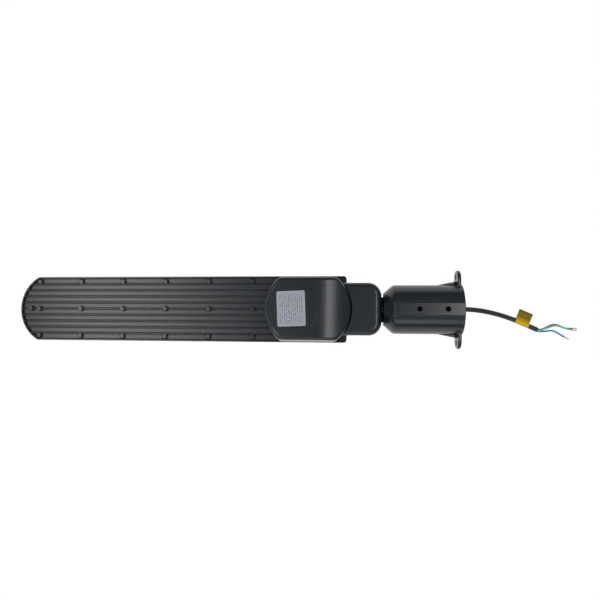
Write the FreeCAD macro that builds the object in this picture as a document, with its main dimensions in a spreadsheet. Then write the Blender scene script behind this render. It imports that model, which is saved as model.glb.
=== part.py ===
"""LED street light head with a tilting pole bracket, in millimetres.

The origin is the centre of the pole socket's mouth. +X runs out of the mouth, along the pole.
+Z is up, on the side of the cooling fins, and the lamp's tip points to -X.
"""
import FreeCAD, Part

import math
import os
import re

import Sketcher
from FreeCAD import Placement, Rotation, Vector

os.makedirs("parts", exist_ok=True)
doc = FreeCAD.newDocument("street_light_head")

# Driving dimensions
SIZES = [
    # pole bracket
    ("socket_radius", 34.0), ("socket_wall", 3.0), ("socket_length", 93.0),
    ("bore_depth", 84.0), ("cone_length", 13.0), ("cone_tip_radius", 22.4),
    ("tip_wall", 9.0), ("inner_cone_radius", 17.0), ("cone_round", 10.0),
    ("collar_rise", 0.6), ("strip_width", 16.0), ("strip_rise", 1.6),
    ("strip_length", 86.3), ("strip_step", 3.9), ("rib_rise", 0.9),
    ("ear_setback", 1.5), ("ear_thickness", 5.0), ("ear_reach", 54.0), ("ear_height", 30.0),
    ("ear_corner", 14.0), ("ear_edge_round", 1.5), ("ear_hole_radius", 4.0), ("ear_hole_offset", 45.5),
    ("gusset_length", 24.6), ("gusset_reach", 39.0), ("gusset_thickness", 5.0),
    ("grub_radius", 3.0), ("grub_first", 22.6), ("grub_pitch", 36.7),
    ("grub_sink", 2.2), ("grub_length", 5.0), ("grub_chamfer", 0.8),
    # tilting joint
    ("waist_gap", 3.2), ("hinge_ahead", 2.0), ("hinge_drop", 24.0), ("knuckle_radius", 8.5),
    ("knuckle_relief", 0.7), ("lug_inner", 8.6), ("lug_outer", 18.0), ("lug_gap", 0.3),
    ("bolt_radius", 3.0), ("bolt_clearance", 0.05), ("bolt_head_radius", 5.0),
    ("bolt_head_length", 5.0), ("bolt_head_sink", 6.2), ("head_pocket_clearance", 0.4),
    ("nut_thickness", 4.5), ("nut_corner_radius", 5.2), ("washer_thickness", 0.6), ("washer_rim", 0.2),
    # neck
    ("neck_length", 39.8), ("neck_width", 72.6), ("neck_top", 26.0), ("neck_bottom", 30.0),
    ("neck_plan_corner", 18.0), ("neck_edge_round", 8.0), ("neck_wall", 5.3), ("neck_crown", 2.0),
    ("neck_block", 15.0), ("neck_root", 24.0), ("passage_drop", 5.0),
    # head casting
    ("head_length", 488.0), ("head_width", 94.0), ("head_end_radius", 54.0),
    ("head_corner", 4.0), ("shoulder_setback", 8.0), ("shoulder_fillet", 3.0), ("shoulder_flat", 0.5),
    ("plate_level", 2.0), ("rim_bottom", 20.0), ("rim_wall", 3.5), ("rim_lip", 2.0),
    ("fin_height", 3.2), ("fin_thickness", 1.1), ("fin_pitch", 9.07), ("fin_count", 9),
    ("boss_first", 29.0), ("boss_end_margin", 10.75), ("boss_rows", 6), ("boss_offset", 40.0),
    ("edge_boss_radius", 3.2), ("edge_boss_height", 3.4),
    ("centre_boss_radius", 3.2), ("centre_boss_height", 4.8), ("tip_boss_gap", 13.4),
    # driver box and cover
    ("cover_length", 126.0), ("cover_width", 92.0), ("cover_radius", 56.0),
    ("cover_top", 40.0), ("cover_side_lean", 3.5), ("cover_tip_lean", 8.5),
    ("cover_end_lean", 1.0), ("cover_corner", 12.0), ("cover_wall", 3.0),
    ("cover_edge_round", 5.5), ("hollow_step", 22.0), ("ramp_start", 52.5), ("ramp_radius", 96.0),
    ("disc_radius", 36.5), ("disc_rise", 1.5), ("disc_from_end", 81.4),
    ("curb_top", 3.0), ("curb_inset", 1.0), ("box_wall", 6.0), ("box_bottom", 32.0),
    ("box_floor", 4.0), ("gasket_thickness", 1.5), ("gasket_width", 3.0), ("gasket_inset", 1.2),
    ("ramp_overrun", 5.0), ("disc_round", 1.0),
    ("cover_post_radius", 5.0), ("cover_post_x", 34.0), ("cover_post_y", 33.0),
    ("neck_fit_gap", 0.3),
    # light engine
    ("land_level", 12.4), ("board_level", 9.0), ("board_thickness", 1.6),
    ("well_width", 62.0), ("post_gap", 0.5), ("recess_gap", 6.0),
    ("board_clearance", 1.0), ("led_size", 5.0), ("led_height", 1.4), ("led_row", 17.0),
    ("led_count", 10), ("lens_thickness", 3.0), ("lens_clearance", 0.4), ("dome_radius", 10.0),
    ("dome_height", 4.0), ("post_radius", 5.0), ("lens_seal_width", 2.5),
    ("lens_seal_depth", 1.4), ("lens_seal_gap", 1.6),
    # screws
    ("screw_radius", 1.5), ("screw_clearance", 0.05), ("screw_length", 10.0), ("screw_play", 0.3),
    ("cover_screw_sink", 2.8), ("cover_screw_grip", 10.0), ("hole_spare", 1.0),
    ("screw_head_radius", 3.0), ("screw_head_height", 1.8),
    ("cover_screw_radius", 2.0), ("cover_screw_head", 3.6), ("cover_screw_head_height", 2.4),
    # driver, terminals and vent
    ("driver_length", 86.0), ("driver_width", 50.0), ("driver_height", 30.0),
    ("driver_from_end", 22.0), ("driver_edge", 3.0), ("driver_foot", 8.0),
    ("driver_foot_thickness", 2.0), ("driver_grip", 3.5), ("terminal_length", 14.0), ("terminal_width", 26.0),
    ("terminal_height", 30.0), ("vent_radius", 7.0), ("vent_height", 2.5), ("vent_stem", 5.0),
    ("vent_from_end", 9.0), ("vent_side", 15.0),
    # cable
    ("cable_radius", 3.4), ("grommet_hole", 6.5), ("grommet_lip", 1.4),
    ("grommet_lip_thickness", 1.6), ("neck_grommet_play", 1.2), ("core_radius", 1.25),
    ("copper_radius", 0.75), ("copper_length", 6.5),
    ("core_spread", 1.5), ("core_lead", 7.0), ("cable_into_neck", 2.6), ("lead_gap", 1.2),
    ("tag_length", 20.0), ("tag_thickness", 0.4), ("tag_reach", 11.0), ("tag_play", 0.55),
]

sheet = doc.addObject("Spreadsheet::Sheet", "sizes")
for row, (alias, size) in enumerate(SIZES, start=1):
    sheet.set(f"A{row}", alias)
    sheet.set(f"B{row}", str(size))
    sheet.setAlias(f"B{row}", alias)
doc.recompute()
ALIASES = {alias for alias, size in SIZES}


def value(expression):
    """The number that an expression over the sheet's names comes to."""
    return float(sheet.evalExpression(expression))


def bound(expression):
    """The same expression as other objects of the document write it."""
    def in_sheet(word):
        return ("sizes." if word[0] in ALIASES else "") + word[0]

    return re.sub(r"[a-z][a-z0-9_]*", in_sheet, expression)


# Places along X, worked out from the mouth towards the lamp's tip
CONE_TIP = "-(socket_length + cone_length)"
NECK_END = f"({CONE_TIP} - waist_gap)"
HINGE_X = f"({CONE_TIP} - hinge_ahead)"
HINGE_Z = "(-hinge_drop)"
COVER_END = f"({NECK_END} - neck_length)"
COVER_TIP = f"({COVER_END} - cover_length)"
BASE_END = f"({COVER_END} - shoulder_setback)"
HEAD_TIP = f"({BASE_END} - head_length)"
FIRST_BOSS = f"({HEAD_TIP} + boss_first)"
JOINT_LEVEL = "(curb_top + gasket_thickness)"
BOX_FLOOR = "(box_floor - box_bottom)"
LENS_FACE = "(-land_level - lens_thickness)"
TIP_BOSS = f"({FIRST_BOSS} - tip_boss_gap)"
RECESS_END = f"({COVER_TIP} - recess_gap)"
LAST_BOSS = f"({RECESS_END} - boss_end_margin)"
BOSS_PITCH = f"(({LAST_BOSS} - {FIRST_BOSS}) / (boss_rows - 1))"
LED_PITCH = f"(({LAST_BOSS} - {FIRST_BOSS}) / led_count)"
COVER_MIDDLE = f"({COVER_END} - cover_length / 2)"
COVER_POSTS = [
    (f"({COVER_MIDDLE} {along} cover_post_x)", f"{across}cover_post_y")
    for along in "+-" for across in ("", "-")
]
VENT_X = f"({COVER_END} - box_wall - vent_from_end)"
FIRST_LED = f"({FIRST_BOSS} + {LED_PITCH} / 2)"
DRIVER_SCREWS = [
    f"({COVER_END} - driver_from_end + driver_foot / 2)",
    f"({COVER_END} - driver_from_end - driver_length - driver_foot / 2)",
]


# Sketching
def new_body(label):
    body = doc.addObject("PartDesign::Body", label)
    body.Label = label
    return body


def new_sketch(body, name, plane, offset="0"):
    sketch = body.newObject("Sketcher::SketchObject", name)
    support = next(feature for feature in body.Origin.OriginFeatures if feature.Role == plane)
    sketch.AttachmentSupport = [(support, "")]
    sketch.MapMode = "FlatFace"
    sketch.setExpression("AttachmentOffset.Base.z", bound(offset))
    return sketch


def set_size(sketch, constraint, expression):
    index = sketch.addConstraint(constraint)
    sketch.setExpression(f"Constraints[{index}]", bound(expression))


def pin_point(sketch, geometry, point, x, y):
    """Hold a point at (x, y) from the sketch's origin."""
    set_size(sketch, Sketcher.Constraint("DistanceX", -1, 1, geometry, point, value(x)), x)
    set_size(sketch, Sketcher.Constraint("DistanceY", -1, 1, geometry, point, value(y)), y)


def draw_outline(sketch, corners):
    """A closed outline, counterclockwise. A corner with a third entry, a radius, starts an
    arc to the next corner; it bulges outwards unless a fourth entry says inwards."""
    spans = []
    points = [Vector(value(corner[0]), value(corner[1]), 0) for corner in corners]
    for index, corner in enumerate(corners):
        start, end = points[index], points[(index + 1) % len(points)]
        if len(corner) == 2:
            spans.append((sketch.addGeometry(Part.LineSegment(start, end), False), 1, 2))
            continue
        inwards = len(corner) == 4
        if inwards:
            start, end = end, start
        radius = value(corner[2])
        half = (end - start) * 0.5
        across = Vector(-half.y, half.x, 0).normalize()
        centre = start + half + across * math.sqrt(radius ** 2 - half.Length ** 2)
        angles = [math.atan2(p.y - centre.y, p.x - centre.x) for p in (start, end)]
        circle = Part.Circle(centre, Vector(0, 0, 1), radius)
        geometry = sketch.addGeometry(Part.ArcOfCircle(circle, *angles), False)
        spans.append((geometry, 2, 1) if inwards else (geometry, 1, 2))
    for index, (geometry, first, last) in enumerate(spans):
        following, following_first, _ = spans[(index + 1) % len(spans)]
        sketch.addConstraint(Sketcher.Constraint("Coincident", geometry, last, following, following_first))
    for (geometry, first, last), corner in zip(spans, corners):
        pin_point(sketch, geometry, first, corner[0], corner[1])
        if len(corner) > 2:
            radius = Sketcher.Constraint("Radius", geometry, value(corner[2]))
            set_size(sketch, radius, corner[2])


def draw_rectangle(sketch, low_x, high_x, low_y, high_y):
    draw_outline(sketch, [(low_x, low_y), (high_x, low_y), (high_x, high_y), (low_x, high_y)])


def draw_circle(sketch, x, y, radius):
    circle = Part.Circle(Vector(value(x), value(y), 0), Vector(0, 0, 1), value(radius))
    geometry = sketch.addGeometry(circle, False)
    pin_point(sketch, geometry, 3, x, y)
    set_size(sketch, Sketcher.Constraint("Radius", geometry, value(radius)), radius)


# Features
def extrude(body, kind, sketch, length, both_sides=False, backwards=False):
    """A Pad or a Pocket. A pad goes along the plane's normal and a pocket against it."""
    feature = body.newObject(f"PartDesign::{kind}", sketch.Name + "_" + kind.lower())
    feature.Profile = sketch
    feature.setExpression("Length", bound(length))
    feature.SideType = "Symmetric" if both_sides else "One side"
    feature.Reversed = backwards
    sketch.Visibility = False
    doc.recompute()
    return feature


def pad(body, sketch, length, **options):
    return extrude(body, "Pad", sketch, length, **options)


def pocket(body, sketch, length, **options):
    before = body.Shape.Volume
    feature = extrude(body, "Pocket", sketch, length, **options)
    if not body.Shape.Volume < before - 1e-6:
        raise RuntimeError(f"{feature.Name} cuts nothing")
    return feature


def turn(body, kind, sketch, axis="H_Axis"):
    """A Revolution or a Groove, all the way round one of the sketch's own axes."""
    feature = body.newObject(f"PartDesign::{kind}", sketch.Name + "_" + kind.lower())
    feature.Profile = sketch
    feature.ReferenceAxis = (sketch, [axis])
    feature.Angle = 360.0
    doc.recompute()
    return feature


def repeat(body, features, count, spacing, axis="X_Axis"):
    """Copies of features in a row along one of the body's axes."""
    pattern = body.newObject("PartDesign::LinearPattern", features[0].Name + "_row")
    pattern.Originals = features
    direction = next(feature for feature in body.Origin.OriginFeatures if feature.Role == axis)
    pattern.Direction = (direction, [""])
    pattern.Mode = "Spacing"
    pattern.setExpression("Occurrences", bound(count))
    pattern.setExpression("Offset", bound(spacing))
    body.Tip = pattern
    doc.recompute()
    return pattern


def mirror(body, features, plane="XZ_Plane"):
    """Copies of features on the other side of one of the body's planes."""
    mirrored = body.newObject("PartDesign::Mirrored", features[0].Name + "_mirrored")
    mirrored.Originals = features
    support = next(feature for feature in body.Origin.OriginFeatures if feature.Role == plane)
    mirrored.MirrorPlane = (support, [""])
    body.Tip = mirrored
    doc.recompute()
    return mirrored


def soften(body, kind, size, chosen):
    """A Fillet or Chamfer on the edges of the body so far that the test picks out."""
    base = body.Tip
    names = [f"Edge{i + 1}" for i, edge in enumerate(base.Shape.Edges) if chosen(edge)]
    if not names:
        raise RuntimeError(f"no edge for the {kind} of {body.Label}")
    feature = body.newObject(f"PartDesign::{kind}", f"{body.Label}_{kind.lower()}_{len(body.Group)}")
    feature.Base = (base, names)
    feature.setExpression("Radius" if kind == "Fillet" else "Size", bound(size))
    doc.recompute()
    return feature


def near(a, b, play=0.01):
    return abs(a - b) < play


def is_along(edge, direction):
    """True for a straight edge in that direction."""
    if edge.Curve.TypeId != "Part::GeomLine":
        return False
    return abs(edge.tangentAt(edge.FirstParameter).dot(direction)) > 0.999


def is_across_x(edge):
    """True for an edge that lies in one plane across the X axis."""
    return near(edge.BoundBox.XMin, edge.BoundBox.XMax)


# Outlines in plan that several pieces share
def head_outline(inset="0", end=BASE_END):
    """The long head: a wide arc at the tip, straight sides and a straight end."""
    half = f"(head_width / 2 - {inset})"
    radius = f"(head_end_radius - {inset})"
    corner = f"({HEAD_TIP} + head_end_radius - sqrt({radius}^2 - {half}^2))"
    return [(corner, f"-{half}"), (end, f"-{half}"), (end, half), (corner, half, radius)]


def cover_outline(side="0", tip="0", end="0", shrink="0"):
    """The driver box: straight sides between two wide arcs, with rounded corners. The sides
    and ends lean in by the given amounts, and the arcs keep their radii, less shrink."""
    half = f"(cover_width / 2 - {side})"
    radius = f"(cover_radius - {shrink})"
    bend = f"(cover_corner - {shrink})"
    reach = f"sqrt(({radius} - {bend})^2 - ({half} - {bend})^2)"
    stretch = f"({radius} / ({radius} - {bend}))"
    touch = f"(({half} - {bend}) * {stretch})"
    left = f"({COVER_TIP} + {tip} + {radius})"
    right = f"({COVER_END} - {end} - {radius})"
    return [
        (f"({left} - {reach})", f"-{half}"), (f"({right} + {reach})", f"-{half}", bend),
        (f"({right} + {reach} * {stretch})", f"-{touch}", radius),
        (f"({right} + {reach} * {stretch})", touch, bend),
        (f"({right} + {reach})", half), (f"({left} - {reach})", half, bend),
        (f"({left} - {reach} * {stretch})", touch, radius),
        (f"({left} - {reach} * {stretch})", f"-{touch}", bend),
    ]


def inset_cover(inset):
    return cover_outline(inset, inset, inset, inset)


def relief_outline(radius):
    """Room round the hinge knuckles, open downwards so that the lugs can swing through."""
    left = f"({HINGE_X} - {radius})"
    right = f"({HINGE_X} + {radius})"
    below = f"({HINGE_Z} - 2 * knuckle_radius)"
    above = f"({HINGE_Z} + {radius})"
    return [
        (left, below), (right, below), (right, HINGE_Z, radius),
        (HINGE_X, above, radius), (left, HINGE_Z),
    ]


RELIEF = "(knuckle_radius + knuckle_relief)"


def make_pole_bracket():
    """Die-cast socket for the pole, with wall ears, a screw strip and two hinge lugs."""
    body = new_body("pole_bracket")
    profile = new_sketch(body, "bracket_profile", "XZ_Plane")
    collar = "(socket_radius + collar_rise)"
    ear_back = "(-ear_setback - ear_thickness)"
    draw_outline(profile, [
        (CONE_TIP, "0"), ("0", "0"), ("0", collar), (ear_back, collar),
        (ear_back, "socket_radius"), ("-socket_length", "socket_radius"),
        (CONE_TIP, "cone_tip_radius"),
    ])
    turn(body, "Revolution", profile)
    cone_start = value("-socket_length")
    soften(body, "Fillet", "cone_round",
           lambda e: near(e.BoundBox.XMin, cone_start) and near(e.BoundBox.XMax, cone_start))

    strip = new_sketch(body, "strip", "XZ_Plane")
    top = "(socket_radius + strip_rise)"
    step_end = "(-strip_length - strip_step)"
    draw_outline(strip, [
        (CONE_TIP, "0"), ("0", "0"), ("0", top), ("-strip_length", top),
        (step_end, "(socket_radius + rib_rise)"), ("-socket_length", "(socket_radius + rib_rise)"),
        (CONE_TIP, "(cone_tip_radius + rib_rise)"),
    ])
    pad(body, strip, "strip_width", both_sides=True)

    ears = new_sketch(body, "ears", "YZ_Plane", "-ear_setback")
    reach, half = "ear_reach", "(ear_height / 2)"
    side = "(ear_reach - ear_corner)"
    edge = "(ear_height / 2 - ear_corner)"
    draw_outline(ears, [
        (f"-{side}", f"-{half}"), (side, f"-{half}", "ear_corner"), (reach, f"-{edge}"),
        (reach, edge, "ear_corner"), (side, half), (f"-{side}", half, "ear_corner"),
        (f"-{reach}", edge), (f"-{reach}", f"-{edge}", "ear_corner"),
    ])
    pad(body, ears, "ear_thickness", backwards=True)
    corner_y = value(side)
    soften(body, "Fillet", "ear_edge_round",
           lambda e: is_across_x(e) and (e.BoundBox.YMin > corner_y - 1 or e.BoundBox.YMax < 1 - corner_y))

    gusset = new_sketch(body, "gusset", "XY_Plane")
    gusset_tip = f"({ear_back} - gusset_length)"
    draw_outline(gusset, [
        (gusset_tip, "(socket_radius - socket_wall / 2)"), (ear_back, "(socket_radius - socket_wall / 2)"),
        (ear_back, "gusset_reach"), (gusset_tip, "socket_radius"),
    ])
    one_gusset = pad(body, gusset, "gusset_thickness", both_sides=True)
    mirror(body, [one_gusset])

    lugs = new_sketch(body, "hinge_lugs", "XZ_Plane")
    bottom = f"({HINGE_Z} - knuckle_radius)"
    crown = f"({HINGE_Z} + knuckle_radius)"
    draw_outline(lugs, [
        (HINGE_X, bottom), ("-socket_length", "(-socket_radius + socket_wall * 2)"),
        ("-socket_length", crown), (HINGE_X, crown, "knuckle_radius"),
        (f"({HINGE_X} - knuckle_radius)", HINGE_Z, "knuckle_radius"),
    ])
    pad(body, lugs, "2 * lug_outer", both_sides=True)

    hollow = new_sketch(body, "hollow", "XZ_Plane")
    inner_end = f"({CONE_TIP} + tip_wall)"
    draw_outline(hollow, [
        (CONE_TIP, "0"), ("0", "0"), ("0", "(socket_radius - socket_wall)"),
        ("-bore_depth", "(socket_radius - socket_wall)"), (inner_end, "inner_cone_radius"),
        (inner_end, "grommet_hole"), (CONE_TIP, "grommet_hole"),
    ])
    turn(body, "Groove", hollow)

    slot = new_sketch(body, "lug_slot", "XZ_Plane")
    draw_outline(slot, relief_outline(RELIEF))
    pocket(body, slot, "2 * lug_inner", both_sides=True)

    bolt_hole = new_sketch(body, "bolt_hole", "XZ_Plane")
    draw_circle(bolt_hole, HINGE_X, HINGE_Z, "(bolt_radius + bolt_clearance)")
    pocket(body, bolt_hole, "3 * lug_outer", both_sides=True)
    for name, offset, backwards in (("head_seat", "(-lug_outer)", True), ("nut_seat", "lug_outer", False)):
        seat = new_sketch(body, name, "XZ_Plane", offset)
        draw_circle(seat, HINGE_X, HINGE_Z, "(bolt_head_radius + head_pocket_clearance)")
        pocket(body, seat, "bolt_head_sink", backwards=backwards)

    grub = new_sketch(body, "grub_holes", "XY_Plane")
    draw_circle(grub, "-grub_first", "0", "grub_radius")
    draw_circle(grub, "(-grub_first - grub_pitch)", "0", "grub_radius")
    pocket(body, grub, "2 * socket_radius", backwards=True)
    strip_top = value(top)
    soften(body, "Chamfer", "grub_chamfer",
           lambda e: near(e.BoundBox.ZMin, strip_top) and e.Curve.TypeId == "Part::GeomCircle")

    ear_hole = new_sketch(body, "ear_holes", "YZ_Plane")
    draw_circle(ear_hole, "ear_hole_offset", "0", "ear_hole_radius")
    draw_circle(ear_hole, "-ear_hole_offset", "0", "ear_hole_radius")
    pocket(body, ear_hole, "2 * (ear_setback + ear_thickness) + 1", both_sides=True)
    return body


def make_housing():
    """Head casting: hollow neck, finned plate, light recess and driver box in one piece."""
    body = new_body("heatsink_housing")
    neck = new_sketch(body, "neck_section", "YZ_Plane", NECK_END)
    side, brow = "(neck_width / 2)", "(neck_top - neck_crown)"
    crown = f"(({side}^2 + neck_crown^2) / (2 * neck_crown))"
    draw_outline(neck, [
        (f"-{side}", "-neck_bottom"), (side, "-neck_bottom"), (side, brow, crown), (f"-{side}", brow),
    ])
    pad(body, neck, "(neck_length + neck_root)", backwards=True)
    up = Vector(0, 0, 1)
    neck_end, neck_back = value(NECK_END), value(f"{NECK_END} - neck_length - neck_root")
    soften(body, "Fillet", "neck_plan_corner",
           lambda e: is_along(e, up) and near(e.CenterOfMass.x, neck_end))
    soften(body, "Fillet", "neck_edge_round",
           lambda e: not is_along(e, up) and e.BoundBox.XMax > neck_back + 1)

    plate = new_sketch(body, "plate_plan", "XY_Plane", "-rim_bottom")
    draw_outline(plate, head_outline())
    pad(body, plate, "(rim_bottom - plate_level)")
    rim = new_sketch(body, "rim_plan", "XY_Plane", "-plate_level")
    outer, inner = head_outline(), head_outline("rim_lip")
    draw_outline(rim, outer[:2] + [
        inner[1], inner[0] + (inner[3][2], "inwards"), inner[3][:2], inner[2],
    ] + outer[2:])
    pad(body, rim, "fin_height")
    half_width = value("head_width / 2")
    soften(body, "Fillet", "head_corner",
           lambda e: is_along(e, up) and near(abs(e.CenterOfMass.y), half_width))
    shoulder, neck_side = value(BASE_END), value(side)
    # The fillet leaves a short flat beside the head's own rounded corner
    room = f"(head_width / 2 - {side} - head_corner - shoulder_flat)"
    soften(body, "Fillet", f"min(shoulder_fillet; {room})",
           lambda e: is_along(e, up) and near(e.CenterOfMass.x, shoulder)
           and near(abs(e.CenterOfMass.y), neck_side))

    # Each fin starts inside the lip, which bows round the tip
    fins = new_sketch(body, "fins", "XY_Plane", "-plate_level")
    for number in range(int(value("fin_count"))):
        line = f"(fin_pitch * ({number} - (fin_count - 1) / 2))"
        bow = f"(head_end_radius - sqrt(head_end_radius^2 - {line}^2))"
        draw_rectangle(fins, f"({HEAD_TIP} + {bow} + rim_lip / 2)", f"({COVER_TIP} + cover_radius)",
                       f"({line} - fin_thickness / 2)", f"({line} + fin_thickness / 2)")
    pad(body, fins, "fin_height")

    edge_boss = new_sketch(body, "edge_boss", "XY_Plane", "-plate_level")
    draw_circle(edge_boss, FIRST_BOSS, "boss_offset", "edge_boss_radius")
    draw_circle(edge_boss, FIRST_BOSS, "-boss_offset", "edge_boss_radius")
    repeat(body, [pad(body, edge_boss, "edge_boss_height")], "boss_rows", BOSS_PITCH)
    centre_boss = new_sketch(body, "centre_boss", "XY_Plane", "-plate_level")
    draw_circle(centre_boss, FIRST_BOSS, "0", "centre_boss_radius")
    repeat(body, [pad(body, centre_boss, "centre_boss_height")], "boss_rows", BOSS_PITCH)
    tip_boss = new_sketch(body, "tip_boss", "XY_Plane", "-plate_level")
    draw_circle(tip_boss, TIP_BOSS, "0", "centre_boss_radius")
    pad(body, tip_boss, "centre_boss_height")

    box = new_sketch(body, "box_plan", "XY_Plane", "-box_bottom")
    draw_outline(box, inset_cover("curb_inset"))
    pad(body, box, "(box_bottom + curb_top)")

    clear_cover = new_sketch(body, "cover_clearance", "XY_Plane", "curb_top")
    draw_outline(clear_cover, inset_cover("-neck_fit_gap"))
    pocket(body, clear_cover, "(neck_top + cover_top)", backwards=True)

    bay = new_sketch(body, "driver_bay", "XY_Plane", "curb_top")
    draw_outline(bay, inset_cover("(curb_inset + box_wall)"))
    pocket(body, bay, f"(curb_top - {BOX_FLOOR})")

    tunnel = new_sketch(body, "neck_tunnel", "XZ_Plane")
    inner_end = f"({NECK_END} - neck_block)"
    rise = f"({COVER_END} + box_wall)"
    back = f"({COVER_END} - 2 * box_wall - curb_inset)"
    floor, roof = "(neck_wall - neck_bottom)", "(neck_top - neck_wall)"
    draw_outline(tunnel, [
        (back, floor), (inner_end, floor), (inner_end, roof), (rise, roof),
        (rise, "(curb_top - passage_drop)"), (back, "(curb_top - passage_drop)"),
    ])
    pocket(body, tunnel, "(neck_width - 2 * neck_wall)", both_sides=True)

    posts = new_sketch(body, "cover_posts", "XY_Plane", BOX_FLOOR)
    holes = new_sketch(body, "cover_screw_holes", "XY_Plane", "curb_top")
    seats = new_sketch(body, "cover_screw_seats", "XY_Plane", "-box_bottom")
    for x, y in COVER_POSTS:
        draw_circle(posts, x, y, "cover_post_radius")
        draw_circle(holes, x, y, "(cover_screw_radius + screw_play)")
        draw_circle(seats, x, y, "(cover_screw_head + screw_play)")
    pad(body, posts, f"(curb_top - {BOX_FLOOR})")
    pocket(body, holes, "(curb_top + box_bottom)")
    pocket(body, seats, "cover_screw_sink", backwards=True)

    relief = new_sketch(body, "lug_relief", "XZ_Plane")
    draw_outline(relief, relief_outline(RELIEF))
    pocket(body, relief, "2 * (lug_outer + lug_gap)", both_sides=True)
    lug = new_sketch(body, "centre_lug", "XZ_Plane")
    root = f"({HINGE_X} - 2 * knuckle_radius)"
    draw_outline(lug, [
        (root, "-neck_bottom"), (HINGE_X, f"({HINGE_Z} - knuckle_radius)", "knuckle_radius"),
        (f"({HINGE_X} + knuckle_radius)", HINGE_Z, "knuckle_radius"),
        (HINGE_X, f"({HINGE_Z} + knuckle_radius)"), (root, f"({HINGE_Z} + knuckle_radius)"),
    ])
    pad(body, lug, "2 * (lug_inner - lug_gap)", both_sides=True)
    bolt_hole = new_sketch(body, "neck_bolt_hole", "XZ_Plane")
    draw_circle(bolt_hole, HINGE_X, HINGE_Z, "(bolt_radius + bolt_clearance)")
    pocket(body, bolt_hole, "2 * lug_inner", both_sides=True)
    for name, offset, backwards in (("far_access", "(-neck_width / 2)", True),
                                    ("near_access", "(neck_width / 2)", False)):
        access = new_sketch(body, name, "XZ_Plane", offset)
        draw_circle(access, HINGE_X, HINGE_Z, "(bolt_head_radius + head_pocket_clearance)")
        pocket(body, access, "(neck_width / 2 - lug_outer)", backwards=backwards)
    cable_hole = new_sketch(body, "neck_cable_hole", "YZ_Plane", NECK_END)
    draw_circle(cable_hole, "0", "0", "grommet_hole")
    pocket(body, cable_hole, "(neck_block + 1)")

    recess = new_sketch(body, "lens_recess", "XY_Plane", "-rim_bottom")
    draw_outline(recess, head_outline("rim_wall", RECESS_END))
    pocket(body, recess, "(rim_bottom - land_level)", backwards=True)
    well = new_sketch(body, "board_well", "XY_Plane", "-land_level")
    draw_rectangle(well, *well_sides("0"))
    pocket(body, well, "(land_level - board_level)", backwards=True)
    groove = new_sketch(body, "seal_groove", "XY_Plane", "-land_level")
    draw_rectangle(groove, *well_sides("lens_seal_gap"))
    draw_rectangle(groove, *well_sides("(lens_seal_gap + lens_seal_width)"))
    pocket(body, groove, "lens_seal_depth", backwards=True)
    post = new_sketch(body, "board_post", "XY_Plane", "-board_level")
    draw_circle(post, FIRST_BOSS, "0", "post_radius")
    one_post = pad(body, post, "(land_level - board_level)", backwards=True)
    repeat(body, [one_post], "boss_rows", BOSS_PITCH)
    thread = new_sketch(body, "lens_screw_threads", "XY_Plane", "-land_level")
    for y in ("-boss_offset", "0", "boss_offset"):
        draw_circle(thread, FIRST_BOSS, y, "(screw_radius + screw_clearance)")
    one_thread = pocket(body, thread, "(screw_length - lens_thickness + hole_spare)", backwards=True)
    repeat(body, [one_thread], "boss_rows", BOSS_PITCH)
    feet = new_sketch(body, "driver_screw_threads", "XY_Plane", BOX_FLOOR)
    for x in DRIVER_SCREWS:
        draw_circle(feet, x, "0", "(screw_radius + screw_clearance)")
    pocket(body, feet, "driver_grip")
    vent = new_sketch(body, "vent_hole", "XY_Plane", "-box_bottom")
    draw_circle(vent, VENT_X, "-vent_side", "vent_stem")
    pocket(body, vent, "(box_floor + 1)", backwards=True)
    return body


def well_sides(grow):
    """The four sides of the rectangular board well, moved outwards."""
    reach = f"(post_radius + post_gap + {grow})"
    return (f"({FIRST_BOSS} - {reach})", f"({LAST_BOSS} + {reach})",
            f"(-well_width / 2 - {grow})", f"(well_width / 2 + {grow})")


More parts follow.
